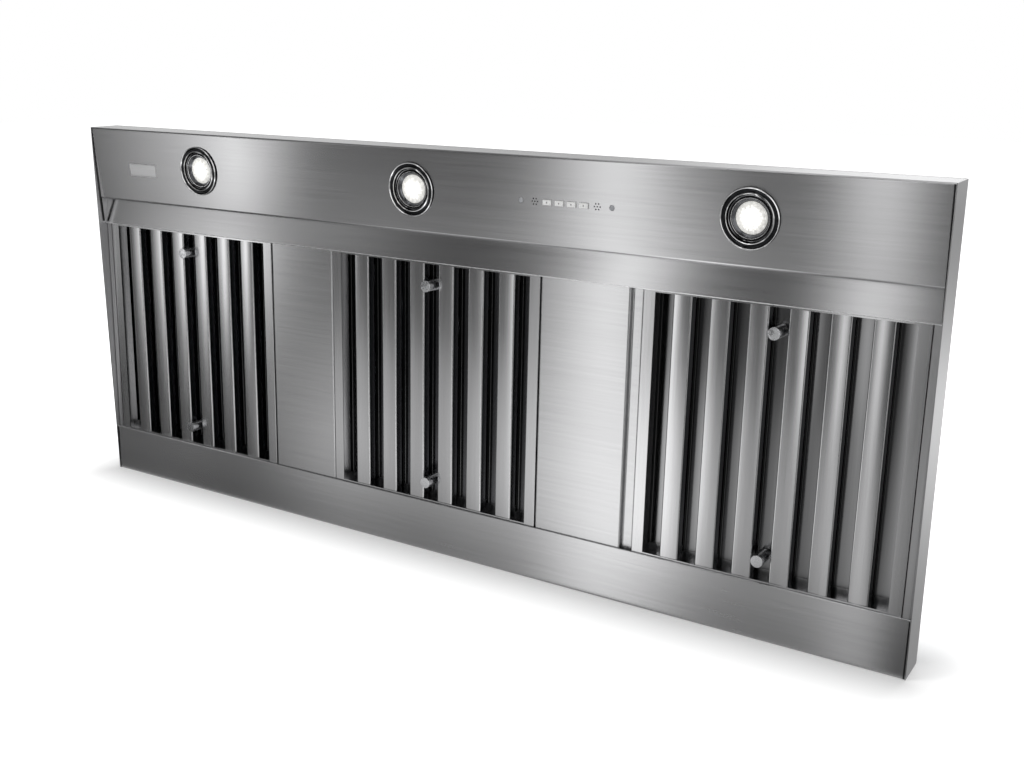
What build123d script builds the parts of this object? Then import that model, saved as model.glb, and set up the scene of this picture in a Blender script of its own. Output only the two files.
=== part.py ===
from build123d import *
import os
from math import atan2, cos, degrees, pi, radians, sin, sqrt

# Range hood insert. Every piece is modelled as the insert hangs over a cooker: x to the right,
# y from the front edge to the rear, z up from the rim. At the end the whole is stood on its rear
# wall, with the filters facing -Y and the control panel at the top. All sizes are in millimetres.

# Overall sizes
WIDTH = 1330.3
REACH = 571.5
TRAY_HEIGHT = 50.8
HEIGHT = 295.3

# Sheet metal
TRAY_SHEET = 1.2
HOUSING_SHEET = 1.0
FILTER_SHEET = 0.8
BEND = 1.6
BAFFLE_BEND = 2.6
SEAM = 0.15
WELD_FLANGE = 14.0
CORNER_RELIEF = 2.0

# Control panel, from the rim bend to its inner edge
PANEL_EDGE = 112.5
PANEL_RISE = 6.5
PANEL_RETURN = 15.0

# Front filter rail and rear band: where each lip lies and how deep
RAIL_GAP = 0.8
RAIL_TOP_DEPTH = 20.6
FRONT_LIP = 153.0
FRONT_LIP_DEPTH = 12.6
REAR_BAND_WIDTH = 73.5
REAR_LIP_DEPTH = 2.6
HEM_LENGTH = 9.0

# Baffle filters
FILTER_WIDTH = 346.0
FILTER_DEPTH = 23.0
FRONT_TUCK = 6.0
REAR_TUCK = 6.0
FILTER_CLEARANCE = 0.3
FILTER_SIDE_GAP = 1.2
OUTER_FILTER_INSET = 13.0
CENTRE_FILTER_SHIFT = -14.5
FILTER_TRAVEL = 12.0
BAFFLES = 6
BAFFLE_WIDTH = 25.0
BAFFLE_FLANGE = 12.0
BAFFLE_PITCH = 48.6
REAR_BAFFLE_WIDTH = 24.4
REAR_BAFFLE_FLANGE = 6.0
REAR_BAFFLE_END = 16.0
END_LIP = 9.0
END_LEDGE = 22.0
FILTER_FRAME_EDGE = 0.7
BAFFLE_FIT = 0.1

# Post knobs of the filters
KNOB_DIAMETER = 15.0
KNOB_PROUD = 13.0
KNOB_FROM_END = 38.0
KNOB_EDGE = 0.8
KNOB_SEAT_DEPTH = 10.0
KNOB_BRACKET = 16.0

# Plain spacers between the filters
SPACER_RETURN = 16.0
SPACER_STEP = 6.0
SPACER_LEDGES = {"left": 0.0, "right": 16.0}

# Filter springs and the rail that carries them
SPRING_SOLID = 3.5
SPRING_SHEET = 0.5
SPRING_WIDTH = 14.0
SPRING_SPAN = 26.0
SPRING_ABOVE_EDGE = 2.0
SPRING_SPREAD = 220.0
SPRING_RAIL_BOTTOM = 9.0

# Recessed lights
LIGHT_X = {"left": -433.5, "centre": -36.5, "right": 441.5}
LIGHT_Y = 55.5
LIGHT_TRIM_RADIUS = 35.5
LIGHT_SLEEVE_RADIUS = 29.0
LIGHT_SHEET = 0.8
LIGHT_TRIM_PROUD = 2.8
LIGHT_TRIM_EDGE = 1.2
LIGHT_SLEEVE_DEPTH = 9.0
LIGHT_RING_FRONT = 1.6
LIGHT_RING_BACK = 5.0
LIGHT_RING_WIDTH = 8.4
LIGHT_RING_SHEET = 1.0
LIGHT_CAN_DEPTH = 36.0
LIGHT_CAN_FLANGE = 4.0
LIGHT_FIT = 0.2
LAMP_RADIUS = 24.6
LAMP_DEPTH = 25.4
LAMP_FRONT = 6.4
LAMP_DOME = 1.2
LAMP_SHOULDER_RADIUS = 21.0
LAMP_BASE_RADIUS = 8.0
LAMP_BASE = 6.0
SOCKET_RADIUS = 9.0
SOCKET_HEIGHT = 3.0

# Controls
CONTROL_X = 200.5
CONTROL_Y = 57.0
BUTTONS = 4
BUTTON_PITCH = 17.4
BUTTON_LENGTH = 12.0
BUTTON_HEIGHT = 6.5
BUTTON_PROUD = 2.2
BUTTON_TRAVEL = 1.5
BUTTON_FIT = 0.3
BUTTON_EDGE = 0.5
BUTTON_LIP = 1.2
BUTTON_LIP_WIDTH = 1.2
BUTTON_STEM_RADIUS = 1.6
BUTTON_STEM = 4.0
INDICATOR_OFFSET = 64.6
INDICATOR_RADIUS = 3.4
INDICATOR_PROUD = 0.9
INDICATOR_COLLAR = 1.0
CLUSTER_OFFSET = 44.4
CLUSTER_HOLES = 6
CLUSTER_RADIUS = 4.0
CLUSTER_HOLE_RADIUS = 1.0
CLUSTER_HOLE_SIDES = 8
BOARD_LENGTH = 150.0
BOARD_HEIGHT = 34.0
BOARD_SHEET = 1.6
SWITCH_SIZE = 6.0
SWITCH_HEIGHT = 4.0
BOARD_POST = 5.0
BOARD_POST_INSET = 4.0
COVER_DEPTH = 22.0
COVER_WALL = 1.5
COVER_MARGIN = 4.0
COVER_FLANGE = 6.0
COVER_FLANGE_SHEET = 2.0

# Blower housing
HOUSING_SIDE_INSET = 60.0
HOUSING_FRONT_INSET = 42.0
HOUSING_TOP = 215.0
HOUSING_FLANGE = 24.0
HOUSING_CORNER = 3.0
AIR_OPENING_FRONT = 136.0
AIR_OPENING_REAR_INSET = 55.5

# Mounting holes in the tray pan, outside the housing
MOUNT_INSET_X = 28.0
MOUNT_INSET_Y = 60.75
MOUNT_HOLE_RADIUS = 3.5

# Blower
AXIS_Y = 259.0
AXIS_Z = 134.0
IMPELLER_RADIUS = 56.0
IMPELLER_INNER_RADIUS = 45.0
IMPELLER_WIDTH = 84.0
BLADES = 18
BLADE_SHEET = 1.0
BLADE_LEAN = 64.0
BLADE_INSET = 1.0
RING_SHEET = 1.5
DISC_SHEET = 2.0
HUB_RADIUS = 9.0
HUB_LENGTH = 24.0
SHAFT_RADIUS = 4.0
SHAFT_FIT = 0.05
SHAFT_EDGE = 0.6
SCROLL_WIDTH = 96.0
SCROLL_START_RADIUS = 66.0
SCROLL_GROWTH = 8.0
SCROLL_SHEET = 1.0
INLET_RADIUS = 46.0
INLET_RING = 4.0
INLET_RING_SHEET = 1.5
SCROLL_GAP = 24.0
MOTOR_RADIUS = 42.0
MOTOR_LENGTH = 90.0
MOTOR_BOSS_RADIUS = 13.0
MOTOR_BOSS = 6.0
MOTOR_SHOULDER = 5.0
MOTOR_END_BELL = 8.0
STRAP_SHEET = 2.0
STRAP_WIDTH = 44.0
STRAP_FOOT = 18.0
STRAP_FIT = 0.15

# Duct transition, collar and damper
DUCT_RADIUS = 125.5
DUCT_SHEET = 0.8
COLLAR_LENGTH = 40.0
TRANSITION_LENGTH = 356.0
TRANSITION_WIDTH = 130.0
TRANSITION_CORNER = 8.0
TRANSITION_FLANGE = 12.0
FLAP_CLEARANCE = 2.5
FLAP_SHEET = 0.8
FLAP_SEAT = 5.0
FLAP_ABOVE_SEAT = 0.5
SPINDLE_RADIUS = 3.0
KNUCKLE_RADIUS = 4.4
KNUCKLE_FIT = 0.05
KNUCKLE_GAP = 0.4
KNUCKLES = 4
KNUCKLE_MARGIN = 6.0

# Junction box
JUNCTION_X = 430.0
JUNCTION_Y = 130.0
JUNCTION_LENGTH = 100.0
JUNCTION_WIDTH = 60.0
JUNCTION_HEIGHT = 48.0
KNOCKOUT_RADIUS = 11.1

# How far a cutter runs past the sheet it cuts, and a whole turn in degrees
CUT = 1.0
FULL_TURN = 360.0

# Worked out from the sizes above
HALF = WIDTH / 2
PAN_UNDERSIDE = TRAY_HEIGHT - TRAY_SHEET
INNER_HALF = HALF - TRAY_SHEET - SEAM
AIR_OPENING_REAR = REACH - AIR_OPENING_REAR_INSET
MOUNT_SPACING_Y = REACH - 2 * MOUNT_INSET_Y
RAIL_WEB = PANEL_EDGE + RAIL_GAP
REAR_LIP = REACH - REAR_BAND_WIDTH
RAIL_SLOPE = atan2(RAIL_TOP_DEPTH - FRONT_LIP_DEPTH, FRONT_LIP - RAIL_WEB)
BAND_SLOPE = atan2(REAR_LIP_DEPTH, REACH - REAR_LIP)
PANEL_SLOPE = atan2(PANEL_RISE, PANEL_EDGE)
FILTER_FRONT = FRONT_LIP - FRONT_TUCK
FILTER_LENGTH = REAR_LIP + REAR_TUCK - FILTER_FRONT
FILTER_FRONT_DEPTH = (
    FRONT_LIP_DEPTH + FRONT_TUCK * sin(RAIL_SLOPE) / cos(RAIL_SLOPE)
    + TRAY_SHEET / cos(RAIL_SLOPE) + FILTER_CLEARANCE
)
FILTER_REAR_DEPTH = REAR_LIP_DEPTH + 2 * TRAY_SHEET / cos(BAND_SLOPE) + FILTER_CLEARANCE
FILTER_SLOPE = atan2(FILTER_FRONT_DEPTH - FILTER_REAR_DEPTH, REAR_LIP - FILTER_FRONT)
OPENING = BAFFLE_PITCH - BAFFLE_WIDTH
SIDE_FLANGE = (FILTER_WIDTH - BAFFLES * BAFFLE_PITCH - OPENING) / 2
FILTER_X = {
    "left": -HALF + OUTER_FILTER_INSET + FILTER_WIDTH / 2,
    "centre": CENTRE_FILTER_SHIFT,
    "right": HALF - OUTER_FILTER_INSET - FILTER_WIDTH / 2,
}
FILTER_END = FILTER_FRONT + FILTER_LENGTH * cos(FILTER_SLOPE) + FILTER_DEPTH * sin(FILTER_SLOPE)
SPRING_RAIL = FILTER_END + FILTER_TRAVEL + SPRING_SOLID
HOUSING_HALF = HALF - HOUSING_SIDE_INSET
HOUSING_WIDTH_Y = REACH - HOUSING_FRONT_INSET
HOUSING_CENTRE_Y = (REACH + HOUSING_FRONT_INSET) / 2
TOP_SURFACE = HOUSING_TOP + HOUSING_SHEET
OUTLET_FRONT = AXIS_Y - SCROLL_GROWTH / 2
OUTLET_REAR = AXIS_Y + SCROLL_START_RADIUS + SCROLL_GROWTH * 5 / 2
DUCT_Y = (OUTLET_FRONT + OUTLET_REAR) / 2
SCROLL_X = MOTOR_LENGTH / 2 + SCROLL_GAP + SCROLL_WIDTH / 2
COLLAR_BASE = HEIGHT - COLLAR_LENGTH
FLAP_LEVEL = COLLAR_BASE + COLLAR_LENGTH / 4
FLAP_RADIUS = DUCT_RADIUS - DUCT_SHEET - FLAP_CLEARANCE
LOWEST_KNOB = FILTER_FRONT_DEPTH - (FILTER_LENGTH - KNOB_FROM_END) * sin(FILTER_SLOPE) - KNOB_PROUD

# The filters, spacers and ledges share one sloping plane: x across, y to the rear, z into the hood
FILTER_PLANE = Plane(
    origin=(0, FILTER_FRONT, FILTER_FRONT_DEPTH),
    x_dir=(1, 0, 0),
    z_dir=(0, sin(FILTER_SLOPE), cos(FILTER_SLOPE)),
)
# The control panel's outer face: x across, y from the rim bend to its inner edge, z into the hood
PANEL_PLANE = Plane(
    origin=(0, 0, 0),
    x_dir=(1, 0, 0),
    z_dir=(0, -sin(PANEL_SLOPE), cos(PANEL_SLOPE)),
)
# From hanging over a cooker to standing on the rear wall, centred in depth
STANDING = Location((0, -(HEIGHT + LOWEST_KNOB) / 2, REACH), (-90, 0, 0))


def group(*pieces):
    """Separate solids held in one compound."""
    return Compound([solid for piece in pieces for solid in piece.solids()])


def folded(points, thickness, side=Side.LEFT, bend=BEND):
    """Section of a folded sheet: its outside line runs through the points, with rounded bends."""
    outside = FilletPolyline(*points, radius=bend + thickness)
    return make_face(offset(outside, amount=thickness, side=side, closed=True).edges())


def along_x(section, length, centre=0.0):
    """A section drawn in (y, z), carried along x about a centre."""
    return Pos(centre, 0, 0) * extrude(Plane.YZ * section, amount=length / 2, both=True)


def along_y(section, start, end):
    """A section drawn in (x, z), carried along y from start to end."""
    middle = (start + end) / 2
    return extrude(Plane.XZ.offset(-middle) * section, amount=(end - start) / 2, both=True)


def turned(points):
    """A closed outline drawn in (radius, z), turned about the z axis."""
    return revolve(Plane.XZ * make_face(Polyline(*points, close=True)), Axis.Z)


def box(x0, x1, y0, y1, z0, z1):
    """A block between two corners."""
    return Pos((x0 + x1) / 2, (y0 + y1) / 2, (z0 + z1) / 2) * Box(x1 - x0, y1 - y0, z1 - z0)


def holes(places, radius, z0, z1):
    """Upright round cutters at the places, from z0 to z1."""
    return [Pos(x, y, (z0 + z1) / 2) * Cylinder(radius, z1 - z0) for x, y in places]


# ---------------------------------------------------------------- tray

def relieved(piece):
    """Notches where a welded sheet would meet the bends at the ends of the tray pan."""
    start, bottom = INNER_HALF - CORNER_RELIEF, PAN_UNDERSIDE - CORNER_RELIEF
    for x in (-HALF, start):
        piece -= box(x, x + HALF - start, -CUT, REACH + CUT, bottom, TRAY_HEIGHT)
    return piece


def mount_places():
    """Cabinet screws in the ledges at the left and right of the housing."""
    x = HALF - MOUNT_INSET_X
    return [(sx * x, REACH / 2 + sy * MOUNT_SPACING_Y / 2) for sx in (-1, 1) for sy in (-1, 1)]


def tray_pan():
    """Top sheet folded down into the left and right walls, with the air opening."""
    section = folded(
        [(-HALF, 0), (-HALF, TRAY_HEIGHT), (HALF, TRAY_HEIGHT), (HALF, 0)],
        TRAY_SHEET, Side.RIGHT,
    )
    pan = along_y(section, 0, REACH)
    opening = HOUSING_HALF - HOUSING_SHEET - HOUSING_FLANGE
    low, high = PAN_UNDERSIDE - CUT, TRAY_HEIGHT + CUT
    pan -= box(-opening, opening, AIR_OPENING_FRONT, AIR_OPENING_REAR, low, high)
    return pan - holes(mount_places(), MOUNT_HOLE_RADIUS, low, high)


def button_places():
    return [CONTROL_X + (i - (BUTTONS - 1) / 2) * BUTTON_PITCH for i in range(BUTTONS)]


def cluster_places():
    """Six holes round one, at both ends of the row of buttons."""
    places = []
    for side in (-1, 1):
        middle = CONTROL_X + side * CLUSTER_OFFSET
        places.append((middle, CONTROL_Y))
        for i in range(CLUSTER_HOLES):
            angle = 2 * pi * i / CLUSTER_HOLES
            x, y = CLUSTER_RADIUS * cos(angle), CLUSTER_RADIUS * sin(angle)
            places.append((middle + x, CONTROL_Y + y))
    return places


def indicator_places():
    return {"left": CONTROL_X - INDICATOR_OFFSET, "right": CONTROL_X + INDICATOR_OFFSET}


def control_panel():
    """Front wall, rim bend, sloping panel and its return, with the openings for lights and controls."""
    section = folded(
        [
            (WELD_FLANGE, PAN_UNDERSIDE), (0, PAN_UNDERSIDE), (0, 0), (PANEL_EDGE, PANEL_RISE),
            (PANEL_EDGE, PANEL_RISE + PANEL_RETURN),
        ],
        TRAY_SHEET,
    )
    panel = relieved(along_x(section, 2 * INNER_HALF))
    low, high = -CUT, TRAY_SHEET + CUT
    lights = [(x, LIGHT_Y) for x in LIGHT_X.values()]
    indicators = [(x, CONTROL_Y) for x in indicator_places().values()]
    cutters = holes(lights, LIGHT_SLEEVE_RADIUS + LIGHT_FIT, low, high)
    punch = extrude(RegularPolygon(CLUSTER_HOLE_RADIUS, CLUSTER_HOLE_SIDES), amount=high - low)
    cutters += [Pos(x, y, low) * punch for x, y in cluster_places()]
    cutters += holes(indicators, INDICATOR_RADIUS + LIGHT_FIT, low, high)
    half_x, half_y = BUTTON_LENGTH / 2 + BUTTON_FIT, BUTTON_HEIGHT / 2 + BUTTON_FIT
    for x in button_places():
        cutters.append(box(x - half_x, x + half_x, CONTROL_Y - half_y, CONTROL_Y + half_y, low, high))
    return panel - [PANEL_PLANE.location * cutter for cutter in cutters]


def rear_band():
    """Rear wall, rim bend and the wide band, whose lip is folded back flat."""
    section = folded(
        [
            (REACH - WELD_FLANGE, PAN_UNDERSIDE), (REACH, PAN_UNDERSIDE),
            (REACH, 0), (REAR_LIP, REAR_LIP_DEPTH),
        ],
        TRAY_SHEET, Side.RIGHT,
    )
    middle = Pos(REAR_LIP, REAR_LIP_DEPTH) * Rot(0, 0, -degrees(BAND_SLOPE)) * Pos(0, TRAY_SHEET)
    nose = middle * Circle(TRAY_SHEET)
    fold = middle * Pos(HEM_LENGTH / 2, 0) * Rectangle(HEM_LENGTH, 2 * TRAY_SHEET)
    return relieved(along_x(section + nose + fold, 2 * INNER_HALF))


def front_filter_rail():
    """Web down from the pan behind the control panel, then the sloping strip that ends in a lip."""
    section = folded(
        [
            (RAIL_WEB + WELD_FLANGE, PAN_UNDERSIDE), (RAIL_WEB, PAN_UNDERSIDE),
            (RAIL_WEB, RAIL_TOP_DEPTH), (FRONT_LIP, FRONT_LIP_DEPTH),
        ],
        TRAY_SHEET,
    )
    return relieved(along_x(section, 2 * INNER_HALF))


def rear_filter_rail():
    """Folded strip under the pan that the filter springs push against."""
    section = folded(
        [
            (SPRING_RAIL + WELD_FLANGE, PAN_UNDERSIDE), (SPRING_RAIL, PAN_UNDERSIDE),
            (SPRING_RAIL, SPRING_RAIL_BOTTOM), (SPRING_RAIL + WELD_FLANGE, SPRING_RAIL_BOTTOM),
        ],
        TRAY_SHEET,
    )
    return relieved(along_x(section, 2 * INNER_HALF))


def in_filter_plane(section, start, end):
    """A section drawn in (x, depth) of the filters' plane, carried along it from front to rear."""
    return FILTER_PLANE.location * along_y(section, start, end)


def spacer(start, end, ledge):
    """Plain channel between two filters; a lower ledge fills what its face leaves at the right."""
    points = [(start, SPACER_RETURN), (start, 0), (end - ledge, 0)]
    if ledge:
        points += [(end - ledge, SPACER_STEP), (end, SPACER_STEP)]
    points.append((end, SPACER_RETURN))
    return in_filter_plane(folded(points, TRAY_SHEET), 0, FILTER_LENGTH)


def side_ledge(side):
    """Angle along the side wall, beside the outer filter."""
    width = OUTER_FILTER_INSET - TRAY_SHEET - SEAM - FILTER_SIDE_GAP
    section = folded([(width, 0), (0, 0), (0, SPACER_RETURN)], TRAY_SHEET, Side.RIGHT)
    if side > 0:
        section = mirror(section, Plane.YZ)
    return in_filter_plane(Pos(side * INNER_HALF, 0) * section, 0, FILTER_LENGTH)


# ---------------------------------------------------------------- filters

def filter_frame():
    """Channel all round the baffles: wide side flanges, narrow lips at the ends."""
    middle = FILTER_LENGTH / 2
    wall = 2 * FILTER_SHEET
    hollow = Rectangle(FILTER_WIDTH - wall, FILTER_LENGTH - wall)
    window_width = FILTER_WIDTH - 2 * SIDE_FLANGE
    frame = extrude(Rectangle(FILTER_WIDTH, FILTER_LENGTH), amount=FILTER_DEPTH)
    edges = frame.edges().group_by(Axis.Z)[0]
    frame = fillet(edges, FILTER_FRAME_EDGE)
    frame -= Pos(0, 0, FILTER_SHEET) * extrude(hollow, amount=FILTER_DEPTH - wall)
    frame -= extrude(Rectangle(window_width, FILTER_LENGTH - 2 * END_LIP), amount=FILTER_DEPTH / 2)
    rear_window = Rectangle(window_width, FILTER_LENGTH - 2 * END_LEDGE)
    frame -= Pos(0, 0, FILTER_DEPTH / 2) * extrude(rear_window, amount=FILTER_DEPTH)
    return Pos(0, middle, 0) * frame


def channel(width, flange, start, end):
    """Baffle: a long channel, its face at depth 0 and its flanges folded inwards over a narrow bevel."""
    half, bevel = width / 2, BAFFLE_BEND
    outside = Polyline(
        (-half, flange), (-half, bevel), (bevel - half, 0), (half - bevel, 0), (half, bevel), (half, flange)
    )
    section = make_face(offset(outside, amount=FILTER_SHEET, side=Side.LEFT, closed=True).edges())
    return along_y(section, start, end)


def front_baffles():
    """Six channels, a baffle pitch apart, behind the frame's front flanges."""
    inset = FILTER_SHEET + BAFFLE_FIT
    baffle = channel(BAFFLE_WIDTH, BAFFLE_FLANGE, inset, FILTER_LENGTH - inset)
    places = [(i - (BAFFLES - 1) / 2) * BAFFLE_PITCH for i in range(BAFFLES)]
    return group(*[Pos(x, 0, inset) * baffle for x in places])


def rear_baffles():
    """Seven channels behind the gaps, facing the front ones, resting on the frame's rear flanges."""
    inset = FILTER_SHEET + BAFFLE_FIT
    baffle = channel(REAR_BAFFLE_WIDTH, REAR_BAFFLE_FLANGE, REAR_BAFFLE_END, FILTER_LENGTH - REAR_BAFFLE_END)
    turned_round = Pos(0, FILTER_LENGTH, FILTER_DEPTH - inset) * Rot(180, 0, 0) * baffle
    places = [(i - BAFFLES / 2) * BAFFLE_PITCH for i in range(BAFFLES + 1)]
    return group(*[Pos(x, 0, 0) * turned_round for x in places])


def knobs():
    """Two posts in the middle gap, each on a bracket between the flanges beside it."""
    half, seat, foot = OPENING / 2 - BAFFLE_FIT, KNOB_SEAT_DEPTH, KNOB_SEAT_DEPTH - FILTER_SHEET
    bracket = box(-half, half, -KNOB_BRACKET / 2, KNOB_BRACKET / 2, foot, seat)
    radius = KNOB_DIAMETER / 2
    post = turned(
        [
            (0, foot), (radius, foot), (radius, KNOB_EDGE - KNOB_PROUD),
            (radius - KNOB_EDGE, -KNOB_PROUD), (0, -KNOB_PROUD),
        ]
    )
    places = (KNOB_FROM_END, FILTER_LENGTH - KNOB_FROM_END)
    return group(*[Pos(0, y, 0) * piece for y in places for piece in (bracket, post)])


def filter_springs():
    """Two bowed leaf springs between the spring rail and the filter's rear end."""
    reach = SPRING_RAIL - FILTER_END - FILTER_CLEARANCE
    low = SPRING_RAIL_BOTTOM + SPRING_ABOVE_EDGE
    high = low + SPRING_SPAN
    middle = (low + high) / 2
    outer = ThreePointArc((SPRING_RAIL, low), (SPRING_RAIL - reach, middle), (SPRING_RAIL, high))
    inner = ThreePointArc(
        (SPRING_RAIL, low + SPRING_SHEET), (SPRING_RAIL - reach + SPRING_SHEET, middle),
        (SPRING_RAIL, high - SPRING_SHEET),
    )
    ends = [Line(outer @ 0, inner @ 0), Line(outer @ 1, inner @ 1)]
    section = make_face([outer, inner, *ends])
    return group(*[along_x(section, SPRING_WIDTH, side * SPRING_SPREAD / 2) for side in (-1, 1)])


# ---------------------------------------------------------------- lights

def at_light(piece, name):
    return PANEL_PLANE.location * Pos(LIGHT_X[name], LIGHT_Y, 0) * piece


def light_trim():
    """Polished bezel: a bevelled rim on the panel and a sleeve that goes in through it."""
    outer, sleeve, edge = LIGHT_TRIM_RADIUS, LIGHT_SLEEVE_RADIUS, LIGHT_TRIM_EDGE
    inner = sleeve - LIGHT_SHEET
    return turned(
        [
            (sleeve, 0), (outer, 0), (outer, edge - LIGHT_TRIM_PROUD),
            (outer - edge, -LIGHT_TRIM_PROUD), (sleeve, -LIGHT_TRIM_PROUD), (inner, 0),
            (inner, LIGHT_SLEEVE_DEPTH), (sleeve, LIGHT_SLEEVE_DEPTH),
        ]
    )


def light_ring():
    """Retaining ring that holds the lamp: a shallow cone in the sleeve."""
    outer = LIGHT_SLEEVE_RADIUS - LIGHT_SHEET - LIGHT_FIT
    inner = outer - LIGHT_RING_WIDTH
    front, back, sheet = LIGHT_RING_FRONT, LIGHT_RING_BACK, LIGHT_RING_SHEET
    return turned(
        [(outer, front), (outer, back), (inner, back + sheet), (inner, back), (outer - sheet, front)]
    )


def light_lamp():
    """Reflector lamp: domed front glass, bowl and base."""
    front, base = LAMP_FRONT, LAMP_BASE_RADIUS
    back = front + LAMP_DEPTH
    return turned(
        [
            (0, front - LAMP_DOME), (LAMP_RADIUS, front), (LAMP_SHOULDER_RADIUS, front + LAMP_DEPTH / 2),
            (base, back - LAMP_BASE), (base, back), (0, back),
        ]
    )


def light_can():
    """Cup behind the panel round the sleeve, with the lamp's socket on its floor."""
    outer = LIGHT_SLEEVE_RADIUS + LIGHT_SHEET + LIGHT_FIT
    inner, rim, floor = outer - LIGHT_SHEET, TRAY_SHEET, LIGHT_CAN_DEPTH - LIGHT_SHEET
    flange, socket = outer + LIGHT_CAN_FLANGE, floor - SOCKET_HEIGHT
    return turned(
        [
            (inner, rim), (flange, rim), (flange, rim + LIGHT_SHEET), (outer, rim + LIGHT_SHEET),
            (outer, LIGHT_CAN_DEPTH), (0, LIGHT_CAN_DEPTH), (0, socket), (SOCKET_RADIUS, socket),
            (SOCKET_RADIUS, floor), (inner, floor),
        ]
    )


# ---------------------------------------------------------------- controls

def at_controls(piece, x):
    return PANEL_PLANE.location * Pos(x, CONTROL_Y, 0) * piece


def push_button():
    """Cap through the panel, a lip that keeps it in and a stem to its switch."""
    half_x, half_y = BUTTON_LENGTH / 2, BUTTON_HEIGHT / 2
    inside = TRAY_SHEET + BUTTON_FIT
    cap = box(-half_x, half_x, -half_y, half_y, -BUTTON_PROUD, inside)
    cap = chamfer(cap.edges().group_by(Axis.Z)[0], BUTTON_EDGE)
    wide_x, wide_y, lip_end = half_x + BUTTON_LIP_WIDTH, half_y + BUTTON_LIP_WIDTH, inside + BUTTON_LIP
    lip = box(-wide_x, wide_x, -wide_y, wide_y, inside, lip_end)
    stem = holes([(0, 0)], BUTTON_STEM_RADIUS, lip_end, lip_end + BUTTON_STEM)
    return cap + lip + stem


def board_level():
    """Front of the circuit board, from the panel's outer face."""
    stem_end = TRAY_SHEET + BUTTON_FIT + BUTTON_LIP + BUTTON_STEM
    return stem_end + BUTTON_TRAVEL + BUTTON_FIT + SWITCH_HEIGHT


def control_board():
    """Circuit board on four square posts, with one switch under each button's stem."""
    half_x, half_y, level = BOARD_LENGTH / 2, BOARD_HEIGHT / 2, board_level()
    board = box(-half_x, half_x, -half_y, half_y, level, level + BOARD_SHEET)
    switch = Pos(0, 0, level - SWITCH_HEIGHT / 2) * Box(SWITCH_SIZE, SWITCH_SIZE, SWITCH_HEIGHT)
    board += [Pos(x - CONTROL_X, 0, 0) * switch for x in button_places()]
    post = Pos(0, 0, (TRAY_SHEET + level) / 2) * Box(BOARD_POST, BOARD_POST, level - TRAY_SHEET)
    x, y = half_x - BOARD_POST_INSET, half_y - BOARD_POST_INSET
    return board + [Pos(sx * x, sy * y, 0) * post for sx in (-1, 1) for sy in (-1, 1)]


def control_cover():
    """Folded lid over the board, open towards the panel, with a flange that meets it."""
    half_x, half_y = BOARD_LENGTH / 2 + COVER_MARGIN, BOARD_HEIGHT / 2 + COVER_MARGIN
    wide_x, wide_y = half_x + COVER_FLANGE, half_y + COVER_FLANGE
    in_x, in_y = half_x - COVER_WALL, half_y - COVER_WALL
    cover = box(-half_x, half_x, -half_y, half_y, 0, COVER_DEPTH)
    cover += box(-wide_x, wide_x, -wide_y, wide_y, 0, COVER_FLANGE_SHEET)
    cover -= box(-in_x, in_x, -in_y, in_y, -CUT, COVER_DEPTH - COVER_WALL)
    return Pos(0, 0, TRAY_SHEET) * cover


def indicator_lens():
    """Small raised lens with a collar behind the panel."""
    radius, proud = INDICATOR_RADIUS, INDICATOR_PROUD
    wide, back = radius + INDICATOR_COLLAR, TRAY_SHEET + BUTTON_FIT
    end = back + INDICATOR_COLLAR
    return turned(
        [
            (0, -proud), (radius - proud, -proud), (radius, 0), (radius, back), (wide, back),
            (wide, end), (0, end),
        ]
    )


# ---------------------------------------------------------------- housing

def housing_shell():
    """Four walls with flanges turned in at the bottom and the top."""
    bottom, top = TRAY_HEIGHT, HOUSING_TOP
    width, reach = 2 * HOUSING_HALF, HOUSING_WIDTH_Y
    wall = 2 * HOUSING_SHEET
    flange = 2 * (HOUSING_SHEET + HOUSING_FLANGE)
    outline = RectangleRounded(width, reach, HOUSING_CORNER)
    hollow = RectangleRounded(width - wall, reach - wall, HOUSING_CORNER - HOUSING_SHEET)
    shell = extrude(outline, amount=top - bottom)
    shell -= Pos(0, 0, HOUSING_SHEET) * extrude(hollow, amount=top - bottom - wall)
    shell -= extrude(Rectangle(width - flange, reach - flange), amount=top - bottom)
    return Pos(0, HOUSING_CENTRE_Y, bottom) * shell


def scroll_sides():
    return {"left": -SCROLL_X, "right": SCROLL_X}


def housing_top():
    """Top sheet with a hole over each scroll's outlet and one for the supply wires."""
    sheet = box(-HOUSING_HALF, HOUSING_HALF, HOUSING_FRONT_INSET, REACH, HOUSING_TOP, TOP_SURFACE)
    low, high, half = HOUSING_TOP - CUT, TOP_SURFACE + CUT, SCROLL_WIDTH / 2
    for x in scroll_sides().values():
        sheet -= box(x - half, x + half, OUTLET_FRONT, OUTLET_REAR, low, high)
    return sheet - holes([(JUNCTION_X, JUNCTION_Y)], KNOCKOUT_RADIUS, low, high)


# ---------------------------------------------------------------- blower

def scroll_outline():
    """Volute in (y, z) about the shaft, from three quarter arcs that grow, up to its outlet."""
    step = SCROLL_GROWTH
    low, high = -step / 2, step / 2
    r1 = SCROLL_START_RADIUS
    r2, r3 = r1 + step, r1 + 2 * step
    top = HOUSING_TOP - AXIS_Z
    return make_face(
        [
            CenterArc((low, low), r1, 90, 90),
            CenterArc((high, low), r2, 180, 90),
            CenterArc((high, high), r3, 270, 90),
            Polyline((high + r3, high), (high + r3, top), (low, top), (low, low + r1)),
        ]
    )


def scroll_hollow():
    """The volute inside its wall, carried out through the outlet."""
    mouth = OUTLET_REAR - OUTLET_FRONT - 2 * SCROLL_SHEET
    place = Pos((OUTLET_FRONT + OUTLET_REAR) / 2 - AXIS_Y, HOUSING_TOP - AXIS_Z)
    return offset(scroll_outline(), amount=-SCROLL_SHEET) + place * Rectangle(mouth, 4 * SCROLL_SHEET)


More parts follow.
